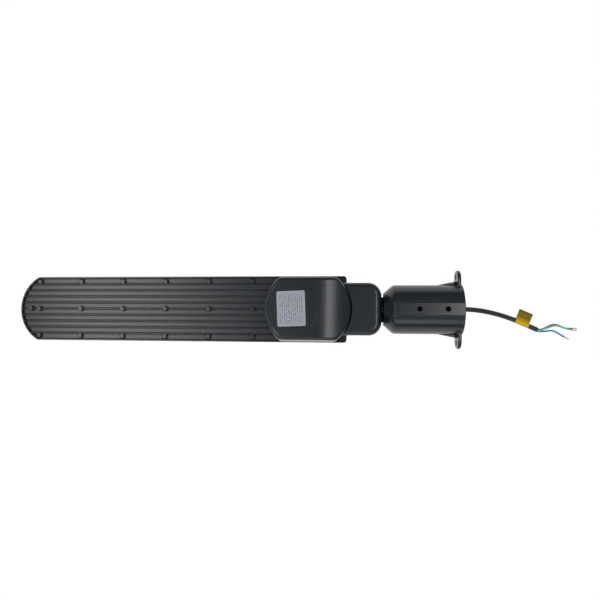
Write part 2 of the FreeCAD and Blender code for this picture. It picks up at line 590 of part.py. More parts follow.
def make_cover():
    """Driver cover: a hollow hood with leaning sides, a ramp to the neck and a raised disc."""
    body = new_body("driver_cover")
    foot = new_sketch(body, "cover_foot", "XY_Plane", JOINT_LEVEL)
    draw_outline(foot, cover_outline())
    crest = new_sketch(body, "cover_crest", "XY_Plane", "cover_top")
    draw_outline(crest, cover_outline("cover_side_lean", "cover_tip_lean", "cover_end_lean"))
    loft = body.newObject("PartDesign::AdditiveLoft", "cover_loft")
    loft.Profile = foot
    loft.Sections = [crest]
    loft.Ruled = True
    doc.recompute()
    ramp = new_sketch(body, "ramp", "XZ_Plane")
    start = f"({COVER_END} - ramp_start)"
    run = "(ramp_start + ramp_overrun)"
    arc_end = f"({COVER_END} + ramp_overrun)"
    draw_outline(ramp, [
        (start, "cover_top", "ramp_radius", "inwards"),
        (arc_end, f"(cover_top - {ramp_drop(run)})"),
        (arc_end, "(cover_top + ramp_overrun)"), (start, "(cover_top + ramp_overrun)"),
    ])
    pocket(body, ramp, "2 * cover_width", both_sides=True)
    solid = body.Tip.Shape
    soften(body, "Fillet", "cover_edge_round", lambda e: is_crest_edge(solid, e))

    share = f"((hollow_step - {JOINT_LEVEL}) / (cover_top - {JOINT_LEVEL}))"
    levels = [
        (JOINT_LEVEL, "0", "0", "0"),
        ("hollow_step", f"{share} * cover_side_lean", f"{share} * cover_tip_lean", "cover_end_lean"),
        ("(cover_top - cover_wall)", "cover_side_lean", "cover_tip_lean", "ramp_start"),
    ]
    sections = []
    for number, (level, side, tip, end) in enumerate(levels):
        section = new_sketch(body, f"hollow_{number}", "XY_Plane", level)
        draw_outline(section, cover_outline(f"(cover_wall + {side})", f"(cover_wall + {tip})",
                                            f"(cover_wall + {end})", "cover_wall"))
        sections.append(section)
    hollow = body.newObject("PartDesign::SubtractiveLoft", "cover_hollow")
    hollow.Profile = sections[0]
    hollow.Sections = sections[1:]
    hollow.Ruled = True
    doc.recompute()

    for name, posts in (("tip_posts", COVER_POSTS[2:]), ("end_posts", COVER_POSTS[:2])):
        post = new_sketch(body, name, "XY_Plane", JOINT_LEVEL)
        thread = new_sketch(body, name + "_threads", "XY_Plane", JOINT_LEVEL)
        for x, y in posts:
            draw_circle(post, x, y, "cover_post_radius")
            draw_circle(thread, x, y, "(cover_screw_radius + screw_clearance)")
        fall = "0"
        if name == "end_posts":
            fall = ramp_drop("(ramp_start + cover_post_x - cover_length / 2)")
        pad(body, post, f"(cover_top - {fall} - cover_wall / 2 - {JOINT_LEVEL})")
        pocket(body, thread, "(cover_screw_grip + hole_spare)", backwards=True)

    disc = new_sketch(body, "disc", "XY_Plane", "(cover_top - cover_wall / 2)")
    draw_circle(disc, f"({COVER_END} - disc_from_end)", "0", "disc_radius")
    pad(body, disc, "(cover_wall / 2 + disc_rise)")
    disc_top = value("cover_top + disc_rise")
    soften(body, "Fillet", "disc_round",
           lambda e: near(e.BoundBox.ZMin, disc_top) and near(e.BoundBox.ZMax, disc_top))
    return body


def ramp_drop(run):
    """How far the ramp has fallen that far beyond its start."""
    return f"(ramp_radius - sqrt(ramp_radius^2 - {run}^2))"


def is_crest_edge(shape, edge):
    """True for an edge with a surface that faces up on one side of it only."""
    middle = edge.valueAt((edge.FirstParameter + edge.LastParameter) / 2)
    facing_up = 0
    for face in shape.Faces:
        if any(edge.isSame(other) for other in face.Edges):
            facing_up += face.normalAt(*face.Surface.parameter(middle)).z > 0.7
    return facing_up == 1


def make_gasket():
    """Seal under the driver cover, all round the driver box's edge."""
    body = new_body("cover_gasket")
    ring = new_sketch(body, "gasket_ring", "XY_Plane", "curb_top")
    draw_outline(ring, inset_cover("gasket_inset"))
    draw_outline(ring, inset_cover("(gasket_inset + gasket_width)"))
    pad(body, ring, "gasket_thickness")
    return body


def make_board():
    """Aluminium circuit board for the light sources, with holes for the housing's posts."""
    body = new_body("led_board")
    plate = new_sketch(body, "board_plate", "XY_Plane", "-board_level")
    draw_rectangle(plate, *well_sides("-board_clearance"))
    pad(body, plate, "board_thickness", backwards=True)
    hole = new_sketch(body, "board_hole", "XY_Plane", "-board_level")
    draw_circle(hole, FIRST_BOSS, "0", "(post_radius + board_clearance / 2)")
    repeat(body, [pocket(body, hole, "board_thickness")], "boss_rows", BOSS_PITCH)
    return body


def make_lens_seal():
    """Rubber cord in the groove round the board well."""
    body = new_body("lens_gasket")
    ring = new_sketch(body, "seal_ring", "XY_Plane", "-land_level")
    draw_rectangle(ring, *well_sides("lens_seal_gap"))
    draw_rectangle(ring, *well_sides("(lens_seal_gap + lens_seal_width)"))
    pad(body, ring, "lens_seal_depth")
    return body


def make_lens_plate():
    """Clear moulded plate with one dome over each light source."""
    body = new_body("lens_plate")
    plate = new_sketch(body, "lens_outline", "XY_Plane", "-land_level")
    draw_outline(plate, head_outline("(rim_wall + lens_clearance)", f"({RECESS_END} - lens_clearance)"))
    pad(body, plate, "lens_thickness", backwards=True)
    domes = []
    for side in ("-", ""):
        dome = new_sketch(body, "dome_far" if side else "dome_near", "XZ_Plane", f"{side}led_row")
        centre = FIRST_LED
        cap = "((dome_radius^2 + dome_height^2) / (2 * dome_height))"
        draw_outline(dome, [
            (centre, f"({LENS_FACE} + lens_thickness / 2)"), (centre, f"({LENS_FACE} - dome_height)", cap),
            (f"({centre} + dome_radius)", LENS_FACE),
            (f"({centre} + dome_radius)", f"({LENS_FACE} + lens_thickness / 2)"),
        ])
        axis = new_line(body, dome, centre)
        revolve = body.newObject("PartDesign::Revolution", dome.Name + "_turned")
        revolve.Profile = dome
        revolve.ReferenceAxis = (dome, [axis])
        revolve.Angle = 360.0
        doc.recompute()
        domes.append(revolve)
    repeat(body, domes, "led_count", LED_PITCH)
    hole = new_sketch(body, "lens_holes", "XY_Plane", "-land_level")
    for y in ("-boss_offset", "0", "boss_offset"):
        draw_circle(hole, FIRST_BOSS, y, "(screw_radius + screw_play)")
    repeat(body, [pocket(body, hole, "lens_thickness")], "boss_rows", BOSS_PITCH)
    return body


def new_line(body, sketch, x):
    """An upright construction line in a sketch, to turn its outline round."""
    low = "(-2 * rim_bottom)"
    line = Part.LineSegment(Vector(value(x), value(low), 0), Vector(value(x), 0, 0))
    geometry = sketch.addGeometry(line, True)
    pin_point(sketch, geometry, 1, x, low)
    pin_point(sketch, geometry, 2, x, "0")
    return "Axis0"


def make_driver():
    """Potted power supply on the floor of the driver bay, with a foot at each end."""
    body = new_body("led_driver")
    case = new_sketch(body, "driver_case", "XY_Plane", BOX_FLOOR)
    right = f"({COVER_END} - driver_from_end)"
    left = f"({right} - driver_length)"
    draw_rectangle(case, left, right, "(-driver_width / 2)", "(driver_width / 2)")
    pad(body, case, "driver_height")
    up = Vector(0, 0, 1)
    soften(body, "Fillet", "driver_edge", lambda e: is_along(e, up))
    feet = new_sketch(body, "driver_feet", "XY_Plane", BOX_FLOOR)
    draw_rectangle(feet, f"({left} - driver_foot)", f"({right} + driver_foot)",
                   "(-driver_foot)", "driver_foot")
    pad(body, feet, "driver_foot_thickness")
    holes = new_sketch(body, "driver_foot_holes", "XY_Plane", BOX_FLOOR)
    for x in DRIVER_SCREWS:
        draw_circle(holes, x, "0", "(screw_radius + screw_play)")
    pocket(body, holes, "driver_foot_thickness", backwards=True)
    return body


def make_terminals():
    """Terminal block on the floor of the neck, where the supply cable's leads end."""
    body = new_body("terminal_block")
    low_x = f"({COVER_END} + box_wall)"
    block = new_sketch(body, "terminal_case", "XY_Plane", "(neck_wall - neck_bottom)")
    draw_rectangle(block, low_x, f"({low_x} + terminal_length)",
                   "(-terminal_width / 2)", "(terminal_width / 2)")
    pad(body, block, "terminal_height")
    return body


def make_vent():
    """Breather plug in the floor of the driver box."""
    body = new_body("breather_vent")
    cap = new_sketch(body, "vent_cap", "XY_Plane", "-box_bottom")
    draw_circle(cap, VENT_X, "-vent_side", "vent_radius")
    pad(body, cap, "vent_height", backwards=True)
    stem = new_sketch(body, "vent_stem_round", "XY_Plane", "-box_bottom")
    draw_circle(stem, VENT_X, "-vent_side", "(vent_stem - screw_clearance)")
    pad(body, stem, "(box_floor + 1)")
    return body


def ring_body(label, profile):
    """A rubber or metal ring turned round the cable's line."""
    body = new_body(label)
    sketch = new_sketch(body, label + "_profile", "XZ_Plane")
    draw_outline(sketch, profile)
    turn(body, "Revolution", sketch)
    return body


def make_grommets():
    """Rubber grommets: one grips the cable in the bracket's tip, one lines the neck's hole."""
    tip_back = f"({CONE_TIP} + tip_wall)"
    tip = ring_body("tip_grommet", [
        (CONE_TIP, "cable_radius"), (f"({tip_back} + grommet_lip_thickness)", "cable_radius"),
        (f"({tip_back} + grommet_lip_thickness)", "(grommet_hole + grommet_lip)"),
        (tip_back, "(grommet_hole + grommet_lip)"), (tip_back, "grommet_hole"),
        (CONE_TIP, "grommet_hole"),
    ])
    inner_end = f"({NECK_END} - neck_block)"
    bore = "(cable_radius + neck_grommet_play)"
    neck = ring_body("neck_grommet", [
        (f"({inner_end} - grommet_lip_thickness)", bore), (NECK_END, bore),
        (NECK_END, "grommet_hole"), (inner_end, "grommet_hole"),
        (inner_end, "(grommet_hole + grommet_lip)"),
        (f"({inner_end} - grommet_lip_thickness)", "(grommet_hole + grommet_lip)"),
    ])
    return [tip, neck]


# Screws and other pieces that repeat
def new_group(label, shapes):
    """One node that holds several equal solids."""
    group = doc.addObject("Part::Feature", label)
    group.Label = label
    group.Shape = Part.makeCompound(shapes)
    return group


def hexagon(radius, height, bottom):
    """A six-sided prism about Z, radius to its corners."""
    corners = [Vector(radius * math.cos(math.radians(60 * side)),
                      radius * math.sin(math.radians(60 * side)), bottom) for side in range(7)]
    return Part.Face(Part.makePolygon(corners)).extrude(Vector(0, 0, height))


def socket_screw(radius, length, head_radius, head_height):
    """A screw along +Z with its head below the origin and a hexagon socket in the head."""
    head = Part.makeCylinder(head_radius, head_height, Vector(0, 0, -head_height))
    rim = [edge for edge in head.Edges if near(edge.BoundBox.ZMax, -head_height)]
    head = head.makeFillet(head_height * 0.3, rim)
    socket = hexagon(head_radius * 0.5, head_height * 0.6, -head_height)
    return head.cut(socket).fuse(Part.makeCylinder(radius, length))


def placed(shape, x, y, z, turned=None):
    copy = shape.copy()
    copy.Placement = Placement(Vector(x, y, z), turned or Rotation())
    return copy


def boss_places(y):
    """Where the lens screws stand in one row."""
    first, pitch = value(FIRST_BOSS), value(BOSS_PITCH)
    return [(first + pitch * index, y) for index in range(int(value("boss_rows")))]


def make_lens_screws():
    screw = socket_screw(value("screw_radius"), value("screw_length"),
                         value("screw_head_radius"), value("screw_head_height"))
    offset = value("boss_offset")
    places = boss_places(-offset) + boss_places(0) + boss_places(offset)
    return new_group("lens_screws", [placed(screw, x, y, value(LENS_FACE)) for x, y in places])


def make_cover_screws():
    seat = value("cover_screw_sink - box_bottom")
    length = value(f"{JOINT_LEVEL} + cover_screw_grip") - seat
    screw = socket_screw(value("cover_screw_radius"), length,
                         value("cover_screw_head"), value("cover_screw_head_height"))
    return new_group("cover_screws", [placed(screw, value(x), value(y), seat) for x, y in COVER_POSTS])


def make_driver_screws():
    screw = socket_screw(value("screw_radius"), value("driver_foot_thickness + driver_grip"),
                         value("screw_head_radius"), value("screw_head_height"))
    top = value(f"{BOX_FLOOR} + driver_foot_thickness")
    down = Rotation(Vector(1, 0, 0), 180)
    return new_group("driver_screws", [placed(screw, value(x), 0, top, down) for x in DRIVER_SCREWS])


def make_leds():
    side, height = value("led_size"), value("led_height")
    chip = Part.makeBox(side, side, height, Vector(-side / 2, -side / 2, -height))
    level = value("-board_level - board_thickness")
    row, pitch, first = value("led_row"), value(LED_PITCH), value(FIRST_LED)
    return new_group("leds", [placed(chip, first + pitch * index, y, level)
                              for y in (-row, row) for index in range(int(value("led_count")))])


def make_set_screws():
    radius = value("grub_radius - screw_clearance")
    length = value("grub_length")
    screw = Part.makeCylinder(radius, length, Vector(0, 0, -length))
    screw = screw.cut(hexagon(radius / 2, length / 2, -length / 2))
    top = value("socket_radius + strip_rise - grub_sink")
    places = [value("-grub_first"), value("-grub_first - grub_pitch")]
    return new_group("set_screws", [placed(screw, x, 0, top) for x in places])


# The tilting joint's own parts, each drawn about Z and then laid along the hinge
def lay_on_hinge(body, y):
    """Put a body that was drawn about Z on the hinge, pointing to -Y from that distance."""
    body.setExpression("Placement.Base.x", bound(HINGE_X))
    body.setExpression("Placement.Base.y", bound(y))
    body.setExpression("Placement.Base.z", bound(HINGE_Z))
    body.setExpression("Placement.Rotation.Axis.x", "1")
    body.setExpression("Placement.Rotation.Axis.y", "0")
    body.setExpression("Placement.Rotation.Axis.z", "0")
    body.setExpression("Placement.Rotation.Angle", "90")
    doc.recompute()
    return body


HEAD_SEAT = "(lug_outer - bolt_head_sink)"


def make_hinge_bolt():
    body = new_body("hinge_bolt")
    shank = new_sketch(body, "bolt_shank", "XY_Plane")
    draw_circle(shank, "0", "0", "bolt_radius")
    pad(body, shank, f"(2 * {HEAD_SEAT} + 2 * washer_thickness + nut_thickness)")
    head = new_sketch(body, "bolt_head", "XY_Plane")
    draw_circle(head, "0", "0", "bolt_head_radius")
    pad(body, head, "bolt_head_length", backwards=True)
    socket = new_sketch(body, "bolt_socket", "XY_Plane", "(-bolt_head_length)")
    draw_hexagon(socket, "(bolt_head_radius / 2)")
    pocket(body, socket, "(bolt_head_length / 2)", backwards=True)
    return lay_on_hinge(body, f"({HEAD_SEAT} + washer_thickness)")


def draw_hexagon(sketch, radius):
    """A regular hexagon about the origin, radius to its corners."""
    corners = [(f"({radius} * cos({60 * side} deg))", f"({radius} * sin({60 * side} deg))")
               for side in range(6)]
    draw_outline(sketch, corners)


def make_hinge_nut():
    body = new_body("hinge_nut")
    nut = new_sketch(body, "nut_section", "XY_Plane")
    draw_hexagon(nut, "nut_corner_radius")
    draw_circle(nut, "0", "0", "(bolt_radius + screw_clearance)")
    pad(body, nut, "nut_thickness")
    return lay_on_hinge(body, f"(-{HEAD_SEAT} - washer_thickness)")


def make_hinge_washers():
    thickness = value("washer_thickness")
    seat = value(HEAD_SEAT)
    disc = Part.makeCylinder(value("bolt_head_radius + washer_rim"), thickness)
    disc = disc.cut(Part.makeCylinder(value("bolt_radius + screw_clearance"), thickness))
    along_y = Rotation(Vector(1, 0, 0), 90)
    x, z = value(HINGE_X), value(HINGE_Z)
    return new_group("hinge_washers", [placed(disc, x, y, z, along_y) for y in (seat + thickness, -seat)])


# Cables. Each route is a row of points, and an arc joins the runs at each of them.
CABLE_ROUTE = [
    (value(f"{NECK_END} - cable_into_neck"), 0.0, 0.0), (-78.0, 0.0, 0.0), (-40.0, 0.4, -1.0),
    (-4.0, 0.2, -3.2), (22.5, -1.1, -8.2), (47.0, -5.2, -17.4), (70.0, -11.3, -25.9),
    (90.5, -18.8, -28.4), (110.7, -27.1, -30.6),
]
CORE_ROUTES = {
    "core_blue": (210, [(127.5, -30.0, -33.0), (139.0, -33.0, -33.2), (147.6, -37.2, -33.2)]),
    "core_brown": (330, [
        (126.0, -27.0, -33.0), (136.0, -23.0, -33.2), (143.5, -23.0, -33.2),
        (150.0, -25.6, -33.2), (157.3, -26.2, -33.2),
    ]),
    "core_green": (90, [
        (126.5, -28.2, -29.9), (135.0, -25.6, -30.4), (142.5, -25.0, -30.5),
        (150.0, -26.6, -30.6), (157.0, -28.6, -31.2),
    ]),
}


def rounded_route(name, points):
    """Straight runs through the points, with an arc at each as large as its runs allow."""
    points = [Vector(*point) for point in points]
    edges, radii = [], []
    last = points[0]
    for before, corner, after in zip(points, points[1:], points[2:]):
        back, ahead = before - corner, after - corner
        shorter = min(back.Length, ahead.Length)
        back.normalize()
        ahead.normalize()
        half_turn = (math.pi - back.getAngle(ahead)) / 2
        cut = 0.45 * shorter
        radius = cut / math.tan(half_turn)
        radii.append(round(radius, 1))
        enter, leave = corner + back * cut, corner + ahead * cut
        towards = (back + ahead).normalize()
        middle = corner + towards * (radius / math.cos(half_turn) - radius)
        edges.append(Part.LineSegment(last, enter).toShape())
        edges.append(Part.Arc(enter, middle, leave).toShape())
        last = leave
    edges.append(Part.LineSegment(last, points[-1]).toShape())
    path = Part.Wire(edges)
    print(f"{name}: {path.Length:.1f} mm long, radii {radii}")
    return path


def tube(name, points, radius):
    path = rounded_route(name, points)
    start, ahead = Vector(*points[0]), Vector(*points[1]) - Vector(*points[0])
    circle = Part.Wire(Part.Circle(start, ahead, radius).toShape())
    solid = path.makePipeShell([circle], True, False)
    expected = math.pi * radius ** 2 * path.Length
    if abs(solid.Volume - expected) > 0.01 * expected:
        raise RuntimeError(f"{name} has the wrong volume")
    print(f"{name}: volume {solid.Volume:.0f}, section times length {expected:.0f}")
    return solid


def make_cable(label, points, radius):
    cable = doc.addObject("Part::Feature", label)
    cable.Label = label
    cable.Shape = tube(label, points, value(radius))
    return cable


def face_axes(before, end):
    """The direction of a cable's last run, and the two directions across it."""
    along = (end - before).normalize()
    across = Vector(0, 0, 1).cross(along).normalize()
    return along, across, along.cross(across)


def make_cables():
    """The supply cable, the three insulated cores that leave its cut end, and their bare tips."""
    cables = [make_cable("supply_cable", CABLE_ROUTE, "cable_radius")]
    before, end = Vector(*CABLE_ROUTE[-2]), Vector(*CABLE_ROUTE[-1])
    along, across, up = face_axes(before, end)
    tips = []
    for label, (angle, later_points) in CORE_ROUTES.items():
        turned = math.radians(angle)
        start = end + (across * math.cos(turned) + up * math.sin(turned)) * value("core_spread")
        route = [start, start + along * value("core_lead")] + later_points
        cables.append(make_cable(label, route, "core_radius"))
        tip, before_tip = Vector(*route[-1]), Vector(*route[-2])
        copper = Part.makeCylinder(value("copper_radius"), value("copper_length"), tip, tip - before_tip)
        tips.append(copper)
    return cables + [new_group("core_ends", tips)]


def make_neck_lead():
    """The supply cable's inner end, from the neck's hole to the terminal block."""
    body = new_body("neck_lead")
    start = f"({NECK_END} - cable_into_neck - lead_gap)"
    block_face = f"({COVER_END} + box_wall + terminal_length)"
    section = new_sketch(body, "lead_section", "YZ_Plane", start)
    draw_circle(section, "0", "0", "cable_radius")
    pad(body, section, f"({start} - {block_face})", backwards=True)
    return body


def make_cable_tag():
    """A label wrapped round the cable, with its two ends stuck together as a flag."""
    before, centre, after = [Vector(*point) for point in CABLE_ROUTE[-3:]]
    along, across, up = face_axes(before, after)
    length, sheet_thickness = value("tag_length"), value("tag_thickness")
    inner = value("cable_radius + tag_play")
    outer = inner + sheet_thickness
    wrap = Part.makeCylinder(outer, length, Vector(-length / 2, 0, 0), Vector(1, 0, 0))
    flag = Part.makeBox(length, value("tag_reach") + outer, 2 * sheet_thickness,
                        Vector(-length / 2, 0, -sheet_thickness))
    hole = Part.makeCylinder(inner, length, Vector(-length / 2, 0, 0), Vector(1, 0, 0))
    tag = doc.addObject("Part::Feature", "cable_tag")
    tag.Label = "cable_tag"
    tag.Shape = wrap.fuse(flag).cut(hole)
    tag.Placement = Placement(centre, Rotation(along, across, up, "XYZ"))
    return tag


def export_all(objects):
    doc.recompute()
    for thing in doc.Objects:
        if set(thing.State) & {"Invalid", "Error"}:
            raise RuntimeError(f"{thing.Name} failed: {thing.State}")
    for thing in objects:
        shape = thing.Shape
        if shape.isNull() or not shape.isValid():
            raise RuntimeError(f"{thing.Label} has no valid shape")
        shape.exportStep(f"parts/{thing.Label}.step")
        print(f"{thing.Label}: {len(shape.Solids)} solid(s), {shape.Volume / 1000:.2f} cm3")


PIECES = [
    make_pole_bracket(), make_housing(), make_cover(), make_gasket(), make_board(), make_leds(),
    make_lens_seal(), make_lens_plate(), make_lens_screws(), make_driver(), make_driver_screws(),
    make_cover_screws(), make_terminals(), make_vent(), *make_grommets(), make_hinge_bolt(),
    make_hinge_nut(), make_hinge_washers(), make_set_screws(), *make_cables(),
    make_neck_lead(), make_cable_tag(),
]
export_all(PIECES)
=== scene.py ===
# %% [markdown]
# # A street light head, lying on its light side
#
# The lamp was photographed from above, on white paper. The castings, screws, seals and the clear
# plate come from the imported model, in metres: the origin is the middle of the pole socket's
# mouth, +X points out of it, and +Z is the side with the cooling fins.
#
# This file dresses that model. It gives every casting its powder coat, and adds what CAD leaves
# plain: the cable and its coloured cores, the paper-like label, the yellow cable tag and the
# light sources behind the clear plate.

import math

import bmesh
import bpy
from mathutils import Matrix, Vector


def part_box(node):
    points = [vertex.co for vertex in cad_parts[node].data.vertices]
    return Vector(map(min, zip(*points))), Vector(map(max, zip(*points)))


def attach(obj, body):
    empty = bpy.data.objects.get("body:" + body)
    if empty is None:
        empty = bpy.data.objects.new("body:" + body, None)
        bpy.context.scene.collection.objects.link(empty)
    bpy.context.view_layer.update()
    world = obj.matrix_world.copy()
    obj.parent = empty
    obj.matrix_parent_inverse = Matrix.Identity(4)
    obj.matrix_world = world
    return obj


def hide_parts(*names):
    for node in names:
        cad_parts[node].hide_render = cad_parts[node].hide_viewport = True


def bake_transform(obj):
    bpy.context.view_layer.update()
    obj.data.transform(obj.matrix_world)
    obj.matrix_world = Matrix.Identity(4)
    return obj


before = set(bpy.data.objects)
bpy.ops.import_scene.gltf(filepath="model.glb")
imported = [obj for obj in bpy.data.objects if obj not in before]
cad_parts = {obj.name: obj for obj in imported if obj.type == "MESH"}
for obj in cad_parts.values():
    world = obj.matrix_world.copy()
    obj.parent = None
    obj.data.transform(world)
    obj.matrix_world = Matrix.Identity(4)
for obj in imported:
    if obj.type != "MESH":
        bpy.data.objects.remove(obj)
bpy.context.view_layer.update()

# %% [markdown]
# ## The camera
#
# The lamp's long edges run level across the picture and close in a little towards the pole end,
# so the camera hangs over the lamp's middle and leans a few degrees towards the tip. Its height
# and lens were worked out from the pole socket's known size. A camera can be aimed with a
# tracking constraint, but three plain turns keep the numbers in sight: a lean about Y, a small
# pitch about X, and a very small roll.

# %% Camera
CAMERA_PLACE = (-0.1445, -0.0209, 0.7442)
CAMERA_LEAN = math.radians(6.02)
CAMERA_PITCH = math.radians(2.62)
CAMERA_ROLL = math.radians(0.09)
CAMERA_LENS, SENSOR_WIDTH = 31.54, 36.0

camera_data = bpy.data.cameras.new("overhead_camera")
camera_data.lens = CAMERA_LENS
camera_data.sensor_width = SENSOR_WIDTH
camera = bpy.data.objects.new("overhead_camera", camera_data)
camera.matrix_world = (
    Matrix.Translation(CAMERA_PLACE)
    @ Matrix.Rotation(CAMERA_PITCH, 4, "X")
    @ Matrix.Rotation(CAMERA_LEAN, 4, "Y")
    @ Matrix.Rotation(CAMERA_ROLL, 4, "Z")
)
bpy.context.scene.collection.objects.link(camera)
bpy.context.scene.camera = camera
print("camera is", CAMERA_PLACE[2], "m above the socket's axis")

# %% [markdown]
# ## Studio: paper and lights
#
# The background is white paper. A large disc is enough for it. Its material asks the Light Path
# node who is looking: the camera, the coat's gloss and the clear plate see plain white, and the
# soft light that bounces off it sees ordinary paper. The white is mixed over the paper and not
# put in its place, so the paper still darkens a little under the lamp.

# %% Small helpers for node trees
def new_material(name):
    """A material with its own shader and output, and its tree."""
    material = bpy.data.materials.new(name)
    material.use_nodes = True
    return material, material.node_tree


def add_node(tree, kind, place=(0, 0), **values):
    """A node whose inputs and settings are given by name."""
    node = tree.nodes.new(kind)
    node.location = place
    for name, value in values.items():
        name = name.replace("_", " ")
        if name in node.inputs:
            node.inputs[name].default_value = value
        else:
            setattr(node, name.replace(" ", "_"), value)
    return node


def link(tree, source, target):
    tree.links.new(source, target)


# %% White paper
PAPER_LEVEL = -0.0352
PAPER_RADIUS = 12
WHITE_STRENGTH, WHITE_SHARE = 1.04, 0.93

paper_material, tree = new_material("white_paper")
paper_shader = tree.nodes["Principled BSDF"]
paper_shader.inputs["Base Color"].default_value = (0.93, 0.93, 0.93, 1)
paper_shader.inputs["Roughness"].default_value = 0.9
white = add_node(tree, "ShaderNodeEmission", (0, -300), Strength=WHITE_STRENGTH)
looker = add_node(tree, "ShaderNodeLightPath", (-400, 300))
mixer = add_node(tree, "ShaderNodeMixShader", (300, 0))
seen = add_node(tree, "ShaderNodeMath", (-200, 400), operation="MAXIMUM")
reached = add_node(tree, "ShaderNodeMath", (-200, 200), operation="MAXIMUM")
share = add_node(tree, "ShaderNodeMath", (0, 300), operation="MULTIPLY")
share.inputs[1].default_value = WHITE_SHARE
link(tree, looker.outputs["Is Camera Ray"], seen.inputs[0])
link(tree, looker.outputs["Is Glossy Ray"], seen.inputs[1])
link(tree, seen.outputs[0], reached.inputs[0])
link(tree, looker.outputs["Is Transmission Ray"], reached.inputs[1])
link(tree, reached.outputs[0], share.inputs[0])
link(tree, share.outputs[0], mixer.inputs["Fac"])
link(tree, paper_shader.outputs[0], mixer.inputs[1])
link(tree, white.outputs[0], mixer.inputs[2])
link(tree, mixer.outputs[0], tree.nodes["Material Output"].inputs["Surface"])

bpy.ops.mesh.primitive_circle_add(
    vertices=96, radius=PAPER_RADIUS, fill_type="NGON", location=(0, 0, PAPER_LEVEL))
paper = bpy.context.object
paper.name = "white_paper"
paper.data.materials.append(paper_material)
print("paper at", PAPER_LEVEL)

# %% [markdown]
# ## Lights
#
# The coat mirrors the studio softly, so what each flat face shows is the light that stands in its
# mirror direction. The fins mirror the ceiling beyond the tip, the cover's ramp mirrors the ceiling
# over the pole, and the pad and the neck mirror the dark part between. Each light is a long strip
# across the lamp: a row of three beyond the tip that fades inwards, and two over the pole that
# make the ramp's one bright band. A low, wide softbox lights the lower side, and the world fills
# the rest. It is darker towards the horizon, as a room is, so the cone and the neck's rounded end,
# which mirror the horizon, stay dark.

# %% Lights
def add_softbox(name, place, aim, across, along, power):
    """An area light that looks from one point at another."""
    data = bpy.data.lights.new(name, "AREA")
    data.shape = "RECTANGLE"
    data.size, data.size_y = across, along
    data.energy = power
    light = bpy.data.objects.new(name, data)
    direction = Vector(aim) - Vector(place)
    light.location = place
    light.rotation_euler = direction.to_track_quat("-Z", "Y").to_euler()
    bpy.context.scene.collection.objects.link(light)


# Place, aim, size across the lamp, size along it, and power in watts
SOFTBOXES = {
    "tip_strip_far": ((-1.15, -0.1, 1.10), (-0.55, 0, 0), 1.2, 0.25, 3.85),
    "tip_strip_middle": ((-0.93, -0.1, 1.18), (-0.45, 0, 0), 1.2, 0.25, 3.0),
    "tip_strip_near": ((-0.70, -0.1, 1.25), (-0.45, 0, 0), 1.2, 0.25, 1.5),
    "pole_strip_near": ((0.285, -0.05, 1.20), (-0.16, 0, 0), 1.1, 0.15, 3.2),
    "pole_strip_far": ((0.46, -0.05, 1.12), (-0.16, 0, 0), 1.1, 0.12, 1.3),
    "lower_softbox": ((-0.3, -1.5, 0.9), (-0.25, 0, 0), 1.6, 0.6, 4.6),
}
for name, given in SOFTBOXES.items():
    add_softbox(name, *given)

# The world's strength at the horizon and overhead
HORIZON_LEVEL, CEILING_LEVEL = 0.14, 0.40
CEILING_HEIGHT = 0.8

world = bpy.data.worlds.new("studio")
bpy.context.scene.world = world
world.use_nodes = True
room = world.node_tree.nodes["Background"]
room.inputs["Color"].default_value = (0.96, 0.99, 1.03, 1)
sky = add_node(world.node_tree, "ShaderNodeTexCoord", (-900, 0))
direction = add_node(world.node_tree, "ShaderNodeSeparateXYZ", (-700, 0))
level = add_node(world.node_tree, "ShaderNodeMapRange", (-400, 0), interpolation_type="SMOOTHSTEP")
level.inputs["To Min"].default_value = HORIZON_LEVEL
level.inputs["To Max"].default_value = CEILING_LEVEL
level.inputs["From Max"].default_value = CEILING_HEIGHT
link(world.node_tree, sky.outputs["Generated"], direction.inputs["Vector"])
link(world.node_tree, direction.outputs["Z"], level.inputs["Value"])
link(world.node_tree, level.outputs["Result"], room.inputs["Strength"])
bpy.context.scene.view_settings.view_transform = "Standard"
print(len(SOFTBOXES), "softboxes and a pale room")

# %% [markdown]
# ## Powder coat
#
# Powder coat is baked plastic. It is never quite flat: it has a soft orange-peel ripple a
# millimetre or two across, and in a dark grey coat there are fine paler specks. The coat is also
# thicker and duller in the corners, where the fins and the bosses stand on the plate. Each effect
# is a node group with named sockets, built once and used with its own values.

# %% A helper for node groups
def new_group(name, inputs, outputs):
    """A shader node group. Inputs are (name, value) pairs, outputs are (name, socket type) pairs."""
    group = bpy.data.node_groups.new(name, "ShaderNodeTree")
    for label, value in inputs:
        kind = "NodeSocketColor" if isinstance(value, tuple) else "NodeSocketFloat"
        socket = group.interface.new_socket(label, in_out="INPUT", socket_type=kind)
        socket.default_value = value
    for label, kind in outputs:
        group.interface.new_socket(label, in_out="OUTPUT", socket_type=kind)
    start = add_node(group, "NodeGroupInput", (-900, 0))
    end = add_node(group, "NodeGroupOutput", (600, 0))
    return group, start, end


def use_group(tree, group, place=(-500, 0), **values):
    """A group in a material's tree, with its own values for the named inputs."""
    node = add_node(tree, "ShaderNodeGroup", place)
    node.node_tree = group
    for name, value in values.items():
        node.inputs[name.replace("_", " ")].default_value = value
    return node


